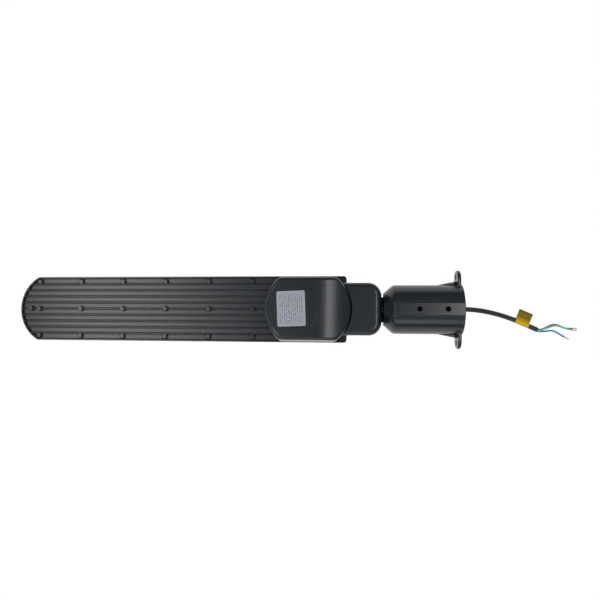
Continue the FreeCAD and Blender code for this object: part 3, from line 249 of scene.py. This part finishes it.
# %% Orange peel: a soft ripple
orange_peel, start, end = new_group(
    "orange_peel", [("Ripple Size", 900.0), ("Grain Size", 4200.0), ("Grain Share", 0.35)],
    [("Height", "NodeSocketFloat")],
)
place = add_node(orange_peel, "ShaderNodeTexCoord", (-900, 300))
ripple = add_node(orange_peel, "ShaderNodeTexNoise", (-500, 200), Detail=1.5, Roughness=0.4)
grain = add_node(orange_peel, "ShaderNodeTexNoise", (-500, -100), Detail=1.0)
blend = add_node(orange_peel, "ShaderNodeMix", (0, 0))
link(orange_peel, place.outputs["Object"], ripple.inputs["Vector"])
link(orange_peel, place.outputs["Object"], grain.inputs["Vector"])
link(orange_peel, start.outputs["Ripple Size"], ripple.inputs["Scale"])
link(orange_peel, start.outputs["Grain Size"], grain.inputs["Scale"])
link(orange_peel, start.outputs["Grain Share"], blend.inputs["Factor"])
link(orange_peel, ripple.outputs["Fac"], blend.inputs["A"])
link(orange_peel, grain.outputs["Fac"], blend.inputs["B"])
link(orange_peel, blend.outputs["Result"], end.inputs["Height"])
print("group:", orange_peel.name)

# %% Specks: two colours of the same coat
fleck, start, end = new_group(
    "fleck", [("Coat", (0.05, 0.05, 0.05, 1)), ("Speck", (0.1, 0.1, 0.1, 1)),
              ("Speck Size", 2600.0), ("Cloud Size", 9.0)],
    [("Color", "NodeSocketColor"), ("Mask", "NodeSocketFloat")],
)
place = add_node(fleck, "ShaderNodeTexCoord", (-900, 300))
dots = add_node(fleck, "ShaderNodeTexNoise", (-600, 200), Detail=2.0, Roughness=0.7)
cloud = add_node(fleck, "ShaderNodeTexNoise", (-600, -100), Detail=3.0)
pick = add_node(fleck, "ShaderNodeMapRange", (-300, 200))
pick.inputs["From Min"].default_value = 0.5
pick.inputs["From Max"].default_value = 0.72
drift = add_node(fleck, "ShaderNodeMapRange", (-300, -100))
drift.inputs["To Min"].default_value = 0.05
drift.inputs["To Max"].default_value = 0.35
together = add_node(fleck, "ShaderNodeMath", (-50, 100), operation="ADD", use_clamp=True)
colour = add_node(fleck, "ShaderNodeMix", (200, 0), data_type="RGBA")
link(fleck, place.outputs["Object"], dots.inputs["Vector"])
link(fleck, place.outputs["Object"], cloud.inputs["Vector"])
link(fleck, start.outputs["Speck Size"], dots.inputs["Scale"])
link(fleck, start.outputs["Cloud Size"], cloud.inputs["Scale"])
link(fleck, dots.outputs["Fac"], pick.inputs["Value"])
link(fleck, cloud.outputs["Fac"], drift.inputs["Value"])
link(fleck, pick.outputs["Result"], together.inputs[0])
link(fleck, drift.outputs["Result"], together.inputs[1])
link(fleck, together.outputs[0], colour.inputs["Factor"])
link(fleck, start.outputs["Coat"], colour.inputs["A"])
link(fleck, start.outputs["Speck"], colour.inputs["B"])
link(fleck, colour.outputs["Result"], end.inputs["Color"])
link(fleck, together.outputs[0], end.inputs["Mask"])
print("group:", fleck.name)

# %% [markdown]
# The corner mask asks how much of the sky a point sees within a few millimetres. It is 0 where
# the surface lies open and 1 deep in a corner.

# %% Corners: a mask of the places that neighbouring walls shade
corner_shade, start, end = new_group(
    "corner_shade", [("Reach", 0.004), ("Open Share", 0.8), ("Closed Share", 0.5)],
    [("Mask", "NodeSocketFloat")],
)
crowd = add_node(corner_shade, "ShaderNodeAmbientOcclusion", (-500, 0), only_local=True, samples=8)
closed = add_node(corner_shade, "ShaderNodeMapRange", (-100, 0))
link(corner_shade, start.outputs["Reach"], crowd.inputs["Distance"])
link(corner_shade, crowd.outputs["AO"], closed.inputs["Value"])
link(corner_shade, start.outputs["Open Share"], closed.inputs["From Min"])
link(corner_shade, start.outputs["Closed Share"], closed.inputs["From Max"])
link(corner_shade, closed.outputs["Result"], end.inputs["Mask"])
print("group:", corner_shade.name)

# %% [markdown]
# ## One recipe for moulded and coated surfaces
#
# Powder coat, rubber, cable sheath and moulded plastic differ in colour, gloss and the size of
# their grain, and otherwise work alike. One function makes each of them from the groups, and the
# numbers say what they are. The castings also get rounded edges in their shading and dull corners.

# %% Coated surface
def coated(name, coat, speck, roughness, bump, ripple_size=900.0, grain_size=4200.0,
           speck_size=2600.0, edge_round=0.0, dull_corners=0.0, **shader_values):
    """A surface with specks in its colour and a fine ripple in its height. With dull_corners, its
    roughness rises to that value in the corners."""
    material, tree = new_material(name)
    shader = tree.nodes["Principled BSDF"]
    specks = use_group(tree, fleck, (-500, 200), Coat=(*coat, 1), Speck=(*speck, 1),
                       Speck_Size=speck_size)
    peel = use_group(tree, orange_peel, (-500, -200), Ripple_Size=ripple_size, Grain_Size=grain_size)
    rough = add_node(tree, "ShaderNodeMapRange", (-250, 0))
    rough.inputs["To Min"].default_value = roughness - 0.03
    rough.inputs["To Max"].default_value = roughness + 0.05
    relief = add_node(tree, "ShaderNodeBump", (-250, -200), Strength=1.0, Distance=bump)
    link(tree, specks.outputs["Color"], shader.inputs["Base Color"])
    link(tree, specks.outputs["Mask"], rough.inputs["Value"])
    link(tree, rough.outputs["Result"], shader.inputs["Roughness"])
    link(tree, peel.outputs["Height"], relief.inputs["Height"])
    link(tree, relief.outputs["Normal"], shader.inputs["Normal"])
    if edge_round:
        soft_edge = add_node(tree, "ShaderNodeBevel", (-500, -400), Radius=edge_round)
        link(tree, soft_edge.outputs["Normal"], relief.inputs["Normal"])
    if dull_corners:
        corner = use_group(tree, corner_shade, (-500, 500))
        dulled = add_node(tree, "ShaderNodeMix", (-100, 300))
        dulled.inputs["B"].default_value = dull_corners
        link(tree, corner.outputs["Mask"], dulled.inputs["Factor"])
        link(tree, rough.outputs["Result"], dulled.inputs["A"])
        link(tree, dulled.outputs["Result"], shader.inputs["Roughness"])
    for socket, value in shader_values.items():
        shader.inputs[socket.replace("_", " ")].default_value = value
    return material


powder_coat = coated("anthracite_powder_coat", (0.0045, 0.0066, 0.0090), (0.0105, 0.0142, 0.0185),
                     0.25, 0.00001, edge_round=0.0008, dull_corners=0.95)
seal_rubber = coated("seal_rubber", (0.018, 0.018, 0.018), (0.03, 0.03, 0.03), 0.7, 0.00004)
dark_plastic = coated("dark_moulded_plastic", (0.02, 0.02, 0.021), (0.035, 0.035, 0.036),
                      0.5, 0.00002)
driver_metal = coated("driver_case_metal", (0.55, 0.56, 0.57), (0.62, 0.63, 0.64), 0.38, 0.00002,
                      Metallic=1.0)
print("coated:", [m.name for m in (powder_coat, seal_rubber, dark_plastic, driver_metal)])

# %% [markdown]
# ## Bright metal
#
# The stainless screws, the hinge bolt and the washers are turned or rolled, so their gloss runs
# in fine rings and lines. A stretched noise in the roughness is enough at their size. The two set
# screws are blackened steel: the same recipe with a darker colour.

# %% Turned steel
def turned_metal(name, colour, roughness):
    """A metal whose gloss and tone run in fine lines round its axis."""
    material, tree = new_material(name)
    shader = tree.nodes["Principled BSDF"]
    shader.inputs["Metallic"].default_value = 1.0
    place = add_node(tree, "ShaderNodeTexCoord", (-900, 0))
    stretch = add_node(tree, "ShaderNodeMapping", (-700, 0))
    stretch.inputs["Scale"].default_value = (1.0, 1.0, 9.0)
    lines = add_node(tree, "ShaderNodeTexNoise", (-500, 0), Scale=900.0, Detail=2.0)
    rough = add_node(tree, "ShaderNodeMapRange", (-250, 0))
    rough.inputs["To Min"].default_value = roughness - 0.1
    rough.inputs["To Max"].default_value = roughness + 0.12
    tone = add_node(tree, "ShaderNodeMix", (-250, 250), data_type="RGBA")
    tone.inputs["A"].default_value = (*[c * 0.85 for c in colour], 1)
    tone.inputs["B"].default_value = (*colour, 1)
    link(tree, place.outputs["Object"], stretch.inputs["Vector"])
    link(tree, stretch.outputs["Vector"], lines.inputs["Vector"])
    link(tree, lines.outputs["Fac"], rough.inputs["Value"])
    link(tree, lines.outputs["Fac"], tone.inputs["Factor"])
    link(tree, rough.outputs["Result"], shader.inputs["Roughness"])
    link(tree, tone.outputs["Result"], shader.inputs["Base Color"])
    return material


stainless = turned_metal("stainless_steel", (0.62, 0.61, 0.59), 0.32)
black_steel = turned_metal("blackened_steel", (0.004, 0.004, 0.005), 0.6)
copper = turned_metal("bare_copper", (0.78, 0.42, 0.26), 0.3)
print("metals:", stainless.name, black_steel.name, copper.name)

# %% [markdown]
# ## Circuit board and clear plate
#
# The board carries a white lacquer, with darker tracks that show faintly through it. The plate
# over it is clear moulded acrylic. Real acrylic bends light with an index of 1.49, and a little
# roughness in the gloss makes it look moulded and not polished.

# %% Board lacquer and clear acrylic
board_lacquer, tree = new_material("white_board_lacquer")
shader = tree.nodes["Principled BSDF"]
shader.inputs["Roughness"].default_value = 0.35
place = add_node(tree, "ShaderNodeTexCoord", (-900, 0))
tracks = add_node(tree, "ShaderNodeTexBrick", (-600, 0), Scale=1.0)
tracks.inputs["Brick Width"].default_value = 0.03
tracks.inputs["Row Height"].default_value = 0.012
tracks.inputs["Mortar Size"].default_value = 0.0005
tracks.inputs["Color1"].default_value = (0.82, 0.83, 0.82, 1)
tracks.inputs["Color2"].default_value = (0.79, 0.80, 0.79, 1)
tracks.inputs["Mortar"].default_value = (0.62, 0.64, 0.62, 1)
link(tree, place.outputs["Object"], tracks.inputs["Vector"])
link(tree, tracks.outputs["Color"], shader.inputs["Base Color"])

clear_acrylic, tree = new_material("clear_acrylic")
shader = tree.nodes["Principled BSDF"]
shader.inputs["Base Color"].default_value = (0.97, 0.98, 0.98, 1)
shader.inputs["Transmission Weight"].default_value = 1.0
shader.inputs["IOR"].default_value = 1.49
flow = use_group(tree, orange_peel, (-600, 0), Ripple_Size=220.0, Grain_Size=1500.0, Grain_Share=0.1)
relief = add_node(tree, "ShaderNodeBump", (-300, -100), Strength=1.0, Distance=0.00003)
gloss = add_node(tree, "ShaderNodeMapRange", (-300, 100))
gloss.inputs["To Min"].default_value = 0.02
gloss.inputs["To Max"].default_value = 0.09
link(tree, flow.outputs["Height"], relief.inputs["Height"])
link(tree, flow.outputs["Height"], gloss.inputs["Value"])
link(tree, gloss.outputs["Result"], shader.inputs["Roughness"])
link(tree, relief.outputs["Normal"], shader.inputs["Normal"])
print("board and plate materials ready")

# %% [markdown]
# ## Dressing the model's own pieces
#
# These nodes already have the right shape and exact normals, so they only change their material.

# %% Materials on the model's pieces
FINISHES = {
    "pole_bracket": powder_coat, "heatsink_housing": powder_coat, "driver_cover": powder_coat,
    "cover_gasket": seal_rubber, "lens_gasket": seal_rubber, "tip_grommet": seal_rubber,
    "neck_grommet": seal_rubber, "led_board": board_lacquer, "lens_plate": clear_acrylic,
    "led_driver": driver_metal, "terminal_block": dark_plastic, "breather_vent": dark_plastic,
    "lens_screws": stainless, "cover_screws": stainless, "driver_screws": stainless,
    "hinge_bolt": stainless, "hinge_nut": stainless, "hinge_washers": stainless,
    "set_screws": black_steel,
}
for name, finish in FINISHES.items():
    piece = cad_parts[name]
    piece.data.materials.clear()
    piece.data.materials.append(finish)
print("dressed", len(FINISHES), "pieces")

# %% [markdown]
# ## The supply cable
#
# A round rubber cable leaves the lamp's neck, runs down the middle of the pole socket and lies on
# the paper outside it. A curve with a round bevel is the natural tool: the route stays editable.
# A smooth NURBS line through a few control points gives the slow bends of a stiff cable.

# %% Routes, in metres
CABLE_ROUTE = [
    (-0.1118, 0.0, 0.0), (-0.078, 0.0, 0.0), (-0.040, 0.0008, -0.001), (-0.004, 0.0012, -0.0032),
    (0.0225, 0.0002, -0.0082), (0.047, -0.0038, -0.0174), (0.070, -0.0099, -0.0259),
    (0.0905, -0.0180, -0.0284), (0.1107, -0.0271, -0.0306),
]
CABLE_RADIUS = 0.0034
CORE_RADIUS = 0.00125
CORE_SPREAD = 0.0015
CORE_LEAD = 0.003
CORES = {
    "blue": (210, [(0.1185, -0.0294, -0.0328), (0.1255, -0.0288, -0.0332), (0.1315, -0.0278, -0.0332),
                   (0.1375, -0.0302, -0.0332), (0.1430, -0.0338, -0.0332), (0.1486, -0.0370, -0.0332)]),
    "brown": (330, [(0.1185, -0.0262, -0.0328), (0.1250, -0.0232, -0.0332), (0.1320, -0.0197, -0.0332),
                    (0.1390, -0.0198, -0.0332), (0.1460, -0.0234, -0.0332), (0.1530, -0.0254, -0.0332),
                    (0.1590, -0.0250, -0.0332)]),
    "green": (90, [(0.1185, -0.0264, -0.0304), (0.1250, -0.0242, -0.0304), (0.1325, -0.0212, -0.0305),
                   (0.1395, -0.0212, -0.0305), (0.1462, -0.0240, -0.0306), (0.1525, -0.0260, -0.0308),
                   (0.1585, -0.0268, -0.0312)]),
}


def round_curve(name, radius, rounding):
    """Curve data with a round section and closed ends."""
    data = bpy.data.curves.new(name, "CURVE")
    data.dimensions = "3D"
    data.bevel_depth = radius
    data.bevel_resolution = rounding
    data.use_fill_caps = True
    return data


def add_line(data, route):
    """A smooth line through the route's control points. It starts and ends on the outer two."""
    spline = data.splines.new("NURBS")
    spline.points.add(len(route) - 1)
    for point, place in zip(spline.points, route):
        point.co = (*place, 1)
    spline.order_u = 3
    spline.use_endpoint_u = True


def place_piece(name, data):
    """An object for the given mesh or curve, put in the scene."""
    piece = bpy.data.objects.new(name, data)
    bpy.context.scene.collection.objects.link(piece)
    return piece


def smooth_line(name, route, radius):
    """A round cord along one smooth line."""
    data = round_curve(name, radius, 8)
    data.resolution_u = 24
    add_line(data, route)
    return place_piece(name, data)


def line_length(piece):
    """The length of a curve object's own line."""
    return sum(spline.calc_length() for spline in piece.data.splines)


# %% Sheath and core materials
cable_sheath = coated("cable_sheath", (0.012, 0.012, 0.013), (0.022, 0.022, 0.024), 0.42, 0.00003,
                      ripple_size=500.0)
core_colours = {
    "blue": coated("blue_insulation", (0.045, 0.21, 0.42), (0.06, 0.25, 0.48), 0.35, 0.00001),
    "brown": coated("brown_insulation", (0.13, 0.045, 0.02), (0.17, 0.06, 0.03), 0.35, 0.00001),
    "green": coated("green_insulation", (0.13, 0.48, 0.35), (0.16, 0.54, 0.40), 0.35, 0.00001),
}

# %% [markdown]
# ## The cores
#
# The three cores leave the sheath's cut end side by side. Each one starts on the end's own plane,
# so the two directions across the cable are worked out first, and each core gets an angle round
# the cable.

# %% Cable and cores
supply_cable = smooth_line("supply_cable_sheath", CABLE_ROUTE, CABLE_RADIUS)
supply_cable.data.materials.append(cable_sheath)
cable_end = Vector(CABLE_ROUTE[-1])
end_along = (cable_end - Vector(CABLE_ROUTE[-2])).normalized()
end_across = Vector((0, 0, 1)).cross(end_along).normalized()
end_up = end_along.cross(end_across)

core_pieces = {}
for colour_name, (angle, later_points) in CORES.items():
    turned = math.radians(angle)
    begin = cable_end + (end_across * math.cos(turned) + end_up * math.sin(turned)) * CORE_SPREAD
    route = [begin, begin + end_along * CORE_LEAD] + [Vector(point) for point in later_points]
    core = smooth_line(f"core_{colour_name}_insulation", route, CORE_RADIUS)
    core.data.materials.append(core_colours[colour_name])
    core_pieces[colour_name] = (core, route)
    print(colour_name, "core:", round(line_length(core) * 1000, 1), "mm")
print("cable:", round(line_length(supply_cable) * 1000, 1), "mm")

# %% [markdown]
# ## Bare copper
#
# Each core ends in a few millimetres of stranded copper. Seven thin wires twisted round each other
# look like it from any side, where one thick rod would look like a nail. They are curves too: a
# middle wire and six helices. The twist is in degrees, over the whole length.

# %% Twisted strands
STRAND_RADIUS = 0.00025
COPPER_LENGTH = 0.0065
STRAND_TWIST = 200
STRAND_SPREAD = 0.35
STRAND_STEP = 0.02


def copper_tip(name, begin, along):
    """Six wires twisted round a middle one, from a core's end. They spread a little and are cut
    to slightly different lengths."""
    data = round_curve(name, STRAND_RADIUS, 3)
    side = along.orthogonal().normalized()
    other = along.cross(side)
    steps = 10
    for wire in range(7):
        route = []
        for step in range(steps + 1):
            share = step / steps
            turned = math.radians(60 * wire + STRAND_TWIST * share)
            reach = 0.0 if wire == 6 else STRAND_RADIUS * (2.0 + STRAND_SPREAD * share ** 2)
            place = begin + along * (COPPER_LENGTH * share * (1 - STRAND_STEP * wire))
            route.append(place + (side * math.cos(turned) + other * math.sin(turned)) * reach)
        add_line(data, route)
    data.materials.append(copper)
    return place_piece(name, data)


copper_tips = {}
for colour_name, (core, route) in core_pieces.items():
    along = (route[-1] - route[-2]).normalized()
    copper_tips[colour_name] = copper_tip(f"copper_{colour_name}", route[-1], along)
print("copper tips:", len(copper_tips))

# %% [markdown]
# ## The cords on the bracket
#
# The cable and the cores are free: nothing holds them outside the lamp. They and the copper tips
# go with the bracket, and each one takes the place of its plain solid in the model.

# %% The cords go with the bracket
for piece in [supply_cable, *copper_tips.values()] + [core for core, route in core_pieces.values()]:
    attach(piece, "bracket")
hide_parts("supply_cable")
for colour_name, (core, route) in core_pieces.items():
    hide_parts(f"core_{colour_name}")
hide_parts("core_ends")

# %% [markdown]
# ## The cable at the waist
#
# Between the bracket's tip and the neck, the cable crosses the tilting joint. This short stretch
# must bend when the head tilts. Here it is a straight tube of many rings.

# %% Short stretch of the cable at the waist
WAIST_START, WAIST_END = -0.1062, -0.1127
WAIST_RADIUS = 0.00348


def mesh_piece(name, mesh, smooth=False):
    """An object from a finished bmesh."""
    data = bpy.data.meshes.new(name)
    mesh.to_mesh(data)
    mesh.free()
    if smooth:
        data.polygons.foreach_set("use_smooth", [True] * len(data.polygons))
    return place_piece(name, data)


def ring_tube(name, x_from, x_to, radius, rings, sides):
    """An open tube along X made of many rings."""
    mesh = bmesh.new()
    rows = []
    for ring in range(rings + 1):
        x = x_from + (x_to - x_from) * ring / rings
        rows.append([mesh.verts.new((x, radius * math.cos(2 * math.pi * side / sides),
                                     radius * math.sin(2 * math.pi * side / sides)))
                     for side in range(sides)])
    for row, following in zip(rows, rows[1:]):
        for side in range(sides):
            after = (side + 1) % sides
            mesh.faces.new((row[side], row[after], following[after], following[side]))
    bmesh.ops.recalc_face_normals(mesh, faces=mesh.faces)
    return mesh_piece(name, mesh, smooth=True)


waist_cable = ring_tube("waist_cable", WAIST_START, WAIST_END, WAIST_RADIUS, 24, 32)
waist_cable.data.materials.append(cable_sheath)
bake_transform(waist_cable)
neck_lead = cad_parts["neck_lead"]
neck_lead.data.materials.clear()
neck_lead.data.materials.append(cable_sheath)
print("waist cable spans", round((WAIST_START - WAIST_END) * 1000, 1), "mm")

# %% [markdown]
# ## The label on the cover
#
# A pale film label sits on the round pad of the driver cover. It is left without words: it has
# rows of plain grey dashes of its own. It is modelled as a thin sheet with rounded corners, a
# tenth of a millimetre proud, because its edge catches the light. The dashes come from the label's
# own coordinates: whole numbers count the rows, and a noise cuts each row into dashes.

# %% Rounded sheet
def rounded_sheet(name, width, depth, corner, thickness, segments=8):
    """A thin flat sheet with rounded corners, lying on z = 0, with coordinates for its print."""
    mesh = bmesh.new()
    outline = []
    for quarter, (sx, sy) in enumerate([(1, 1), (-1, 1), (-1, -1), (1, -1)]):
        for step in range(segments + 1):
            angle = math.radians(90 * quarter + 90 * step / segments)
            outline.append((sx * (width / 2 - corner) + corner * math.cos(angle),
                            sy * (depth / 2 - corner) + corner * math.sin(angle)))
    bottom = [mesh.verts.new((x, y, 0)) for x, y in outline]
    top = [mesh.verts.new((x, y, thickness)) for x, y in outline]
    mesh.faces.new(top)
    mesh.faces.new(bottom[::-1])
    for index in range(len(outline)):
        after = (index + 1) % len(outline)
        mesh.faces.new((bottom[index], bottom[after], top[after], top[index]))
    layer = mesh.loops.layers.uv.new("print")
    for face in mesh.faces:
        for loop in face.loops:
            x, y = loop.vert.co.x, loop.vert.co.y
            loop[layer].uv = (x / width + 0.5, y / depth + 0.5)
    return mesh_piece(name, mesh)


# %% Label material: pale film with rows of grey dashes
LABEL_ROWS = 13
LABEL_PAPER = (0.30, 0.32, 0.365)
LABEL_INK = (0.10, 0.108, 0.125)
DASH_HALF_HEIGHT = 0.17
DASHES_ALONG = 26.0
ROW_SHIFT = 7.3
PRINT_REACH = 0.42

label_film, tree = new_material("label_film")
shader = tree.nodes["Principled BSDF"]
shader.inputs["Roughness"].default_value = 0.4
place = add_node(tree, "ShaderNodeTexCoord", (-1500, 0))
axes = add_node(tree, "ShaderNodeSeparateXYZ", (-1300, 0))
link(tree, place.outputs["UV"], axes.inputs["Vector"])


def maths(operation, *given):
    """A Math node in the label's tree, fed by sockets or plain numbers."""
    node = add_node(label_film.node_tree, "ShaderNodeMath", operation=operation)
    for socket, source in zip(node.inputs, given):
        if isinstance(source, (int, float)):
            socket.default_value = source
        else:
            link(label_film.node_tree, source, socket)
    return node.outputs[0]


def from_half(socket):
    """How far a share lies from one half."""
    return maths("ABSOLUTE", maths("SUBTRACT", socket, 0.5))


row_height = maths("MULTIPLY", axes.outputs["X"], LABEL_ROWS)
row_number = maths("FLOOR", row_height)
in_line = maths("LESS_THAN", from_half(maths("FRACT", row_height)), DASH_HALF_HEIGHT)
spot = add_node(tree, "ShaderNodeCombineXYZ", (-700, 0))
link(tree, maths("MULTIPLY", axes.outputs["Y"], DASHES_ALONG), spot.inputs["X"])
link(tree, maths("MULTIPLY", row_number, ROW_SHIFT), spot.inputs["Y"])
dashes = add_node(tree, "ShaderNodeTexNoise", (-500, 0), noise_dimensions="2D",
                  Scale=1.0, Detail=1.0)
link(tree, spot.outputs["Vector"], dashes.inputs["Vector"])
in_dash = maths("GREATER_THAN", dashes.outputs["Fac"], 0.5)
from_middle = maths("MAXIMUM", from_half(axes.outputs["X"]), from_half(axes.outputs["Y"]))
inside = maths("LESS_THAN", from_middle, PRINT_REACH)
ink_share = maths("MULTIPLY", maths("MULTIPLY", in_line, in_dash), inside)
print_mix = add_node(tree, "ShaderNodeMix", (-200, 200), data_type="RGBA")
print_mix.inputs["A"].default_value = (*LABEL_PAPER, 1)
print_mix.inputs["B"].default_value = (*LABEL_INK, 1)
link(tree, ink_share, print_mix.inputs["Factor"])
link(tree, print_mix.outputs["Result"], shader.inputs["Base Color"])
print("label film with", LABEL_ROWS, "rows")

# %% Label in place
LABEL_PLACE = (-0.2308, -0.0003, 0.04152)
LABEL_TURN = math.radians(2.3)
LABEL_WIDTH, LABEL_DEPTH = 0.0385, 0.0478
LABEL_CORNER, LABEL_THICKNESS = 0.0025, 0.00012

label = rounded_sheet("cover_label", LABEL_WIDTH, LABEL_DEPTH, LABEL_CORNER, LABEL_THICKNESS)
label.data.transform(Matrix.Translation(LABEL_PLACE) @ Matrix.Rotation(LABEL_TURN, 4, "Z"))
label.data.materials.append(label_film)
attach(label, "head")
print("label at", LABEL_PLACE)

# %% [markdown]
# ## The yellow cable tag
#
# The tag is one strip of printed film. It goes once round the cable and its two ends are stuck
# together as a flag. The strip's own section is drawn first, as a line round the cable and out
# along the flag, and then given a length along the cable. Its print is left off. Round the black
# cable the film is a full yellow. The flag is two layers of it, stuck back to back, and there the
# film is painted a deeper olive, as painted shade: the film's own coordinate across the strip mixes
# the two colours.

# %% Tag
FILM_YELLOW = (0.64, 0.39, 0.003)
# Painted shade: the flag is coloured a darker olive for the shade it shows
FLAG_PAINTED_SHADE = (0.20, 0.135, 0.002)
TAG_LENGTH, TAG_REACH, TAG_THICKNESS = 0.020, 0.0172, 0.0003
WRAP_RADIUS = CABLE_RADIUS + 0.0004
TAG_SLIP = 0.0015
FLAG_CURL = 0.0012
FLAG_SHARES = (0.1, 0.33, 0.66)


def film_section():
    """Points of the strip's middle line, across the cable: flag, loop, flag."""
    gap = TAG_THICKNESS * 0.6
    opening = math.asin(gap / WRAP_RADIUS)
    flag = [WRAP_RADIUS + (TAG_REACH - WRAP_RADIUS) * share for share in FLAG_SHARES] + [TAG_REACH]
    line = [(reach, gap) for reach in reversed(flag)]
    steps = 28
    for step in range(steps + 1):
        angle = opening + (2 * math.pi - 2 * opening) * step / steps
        line.append((WRAP_RADIUS * math.cos(angle), WRAP_RADIUS * math.sin(angle)))
    line += [(reach, -gap) for reach in flag]
    return line


tag_along = (Vector(CABLE_ROUTE[-1]) - Vector(CABLE_ROUTE[-3])).normalized()
tag_middle = Vector(CABLE_ROUTE[-2]) - tag_along * TAG_SLIP
tag_across = Vector((0, 0, 1)).cross(tag_along).normalized()
tag_up = tag_along.cross(tag_across)

mesh = bmesh.new()
section = film_section()
columns = 12
rows = []
for column in range(columns + 1):
    share = column / columns - 0.5
    row = []
    for reach, lift in section:
        curl = FLAG_CURL * max(0.0, reach - WRAP_RADIUS) / TAG_REACH * (share - 0.1)
        place = tag_middle + tag_along * (share * TAG_LENGTH)
        place = place + tag_across * reach + tag_up * (lift + curl)
        row.append(mesh.verts.new(place))
    rows.append(row)
layer = mesh.loops.layers.uv.new("film")
for column, (row, following) in enumerate(zip(rows, rows[1:])):
    for index in range(len(section) - 1):
        face = mesh.faces.new((row[index], row[index + 1], following[index + 1], following[index]))
        for loop, (across, onward) in zip(face.loops, ((0, 0), (1, 0), (1, 1), (0, 1))):
            reach = max(0.0, section[index + across][0] - WRAP_RADIUS) / (TAG_REACH - WRAP_RADIUS)
            loop[layer].uv = (reach, (column + onward) / columns)
bmesh.ops.recalc_face_normals(mesh, faces=mesh.faces)
tag = mesh_piece("cable_tag_film", mesh, smooth=True)
film_thickness = tag.modifiers.new("film_thickness", "SOLIDIFY")
film_thickness.thickness = TAG_THICKNESS
film_thickness.offset = 0

# %% Film material: yellow round the cable, with a painted shade of olive along the flag
yellow_film = coated("yellow_film", FILM_YELLOW, FILM_YELLOW, 0.34, 0.00001, Specular_IOR_Level=0.2)
tree = yellow_film.node_tree
shader = tree.nodes["Principled BSDF"]
place = add_node(tree, "ShaderNodeUVMap", (-900, 500), uv_map="film")
axes = add_node(tree, "ShaderNodeSeparateXYZ", (-700, 500))
# Painted shade mask: 0 round the cable, rising to 1 a quarter of the way out along the flag
flag_shade_mask = add_node(tree, "ShaderNodeMapRange", (-500, 500), interpolation_type="SMOOTHSTEP")
flag_shade_mask.inputs["From Max"].default_value = 0.25
shade = add_node(tree, "ShaderNodeMix", (-200, 500), data_type="RGBA")
shade.inputs["B"].default_value = (*FLAG_PAINTED_SHADE, 1)
link(tree, place.outputs["UV"], axes.inputs["Vector"])
link(tree, axes.outputs["X"], flag_shade_mask.inputs["Value"])
link(tree, flag_shade_mask.outputs["Result"], shade.inputs["Factor"])
link(tree, shader.inputs["Base Color"].links[0].from_socket, shade.inputs["A"])
link(tree, shade.outputs["Result"], shader.inputs["Base Color"])
tag.data.materials.append(yellow_film)
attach(tag, "bracket")
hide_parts("cable_tag")
print("tag film:", len(tag.data.polygons), "faces")

# %% [markdown]
# ## Light sources
#
# Behind each lens dome sits one light source: a square white package with a round yellow cap. In
# the model they are plain blocks. Here each is a bevelled block with a half dome, copied along the
# two rows.

# %% Light source packages
PACKAGE_SIZE, PACKAGE_HEIGHT, PACKAGE_BEVEL = 0.005, 0.0007, 0.00012
CAP_RADIUS, CAP_FLATTENING = 0.0018, 0.36
LED_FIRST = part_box("leds")[0].x + PACKAGE_SIZE / 2
LED_PITCH, LED_COUNT, LED_ROW = 0.032425, 10, 0.017
LED_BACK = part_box("leds")[1].z

package_white = coated("package_white", (0.75, 0.75, 0.73), (0.8, 0.8, 0.78), 0.4, 0.00001)
phosphor = coated("phosphor_yellow", (0.78, 0.55, 0.06), (0.84, 0.62, 0.1), 0.3, 0.00001)
mesh = bmesh.new()
for row_y in (-LED_ROW, LED_ROW):
    for index in range(LED_COUNT):
        place = Vector((LED_FIRST + LED_PITCH * index, row_y, LED_BACK))
        made = bmesh.ops.create_cube(mesh, size=1.0)
        package = (PACKAGE_SIZE, PACKAGE_SIZE, PACKAGE_HEIGHT)
        bmesh.ops.scale(mesh, vec=package, verts=made["verts"])
        bmesh.ops.translate(mesh, vec=place - Vector((0, 0, PACKAGE_HEIGHT / 2)), verts=made["verts"])
        edges = list({edge for vert in made["verts"] for edge in vert.link_edges})
        bmesh.ops.bevel(mesh, geom=edges, offset=PACKAGE_BEVEL, segments=2, affect="EDGES")
        cap = bmesh.ops.create_uvsphere(mesh, u_segments=20, v_segments=10, radius=CAP_RADIUS)
        bmesh.ops.scale(mesh, vec=(1, 1, CAP_FLATTENING), verts=cap["verts"])
        bmesh.ops.translate(mesh, vec=place - Vector((0, 0, PACKAGE_HEIGHT)), verts=cap["verts"])
        for face in {face for vert in cap["verts"] for face in vert.link_faces}:
            face.material_index = 1
            face.smooth = True
light_sources = mesh_piece("light_sources", mesh)
light_sources.data.materials.append(package_white)
light_sources.data.materials.append(phosphor)
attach(light_sources, "head")
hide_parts("leds")
print("light sources:", 2 * LED_COUNT)
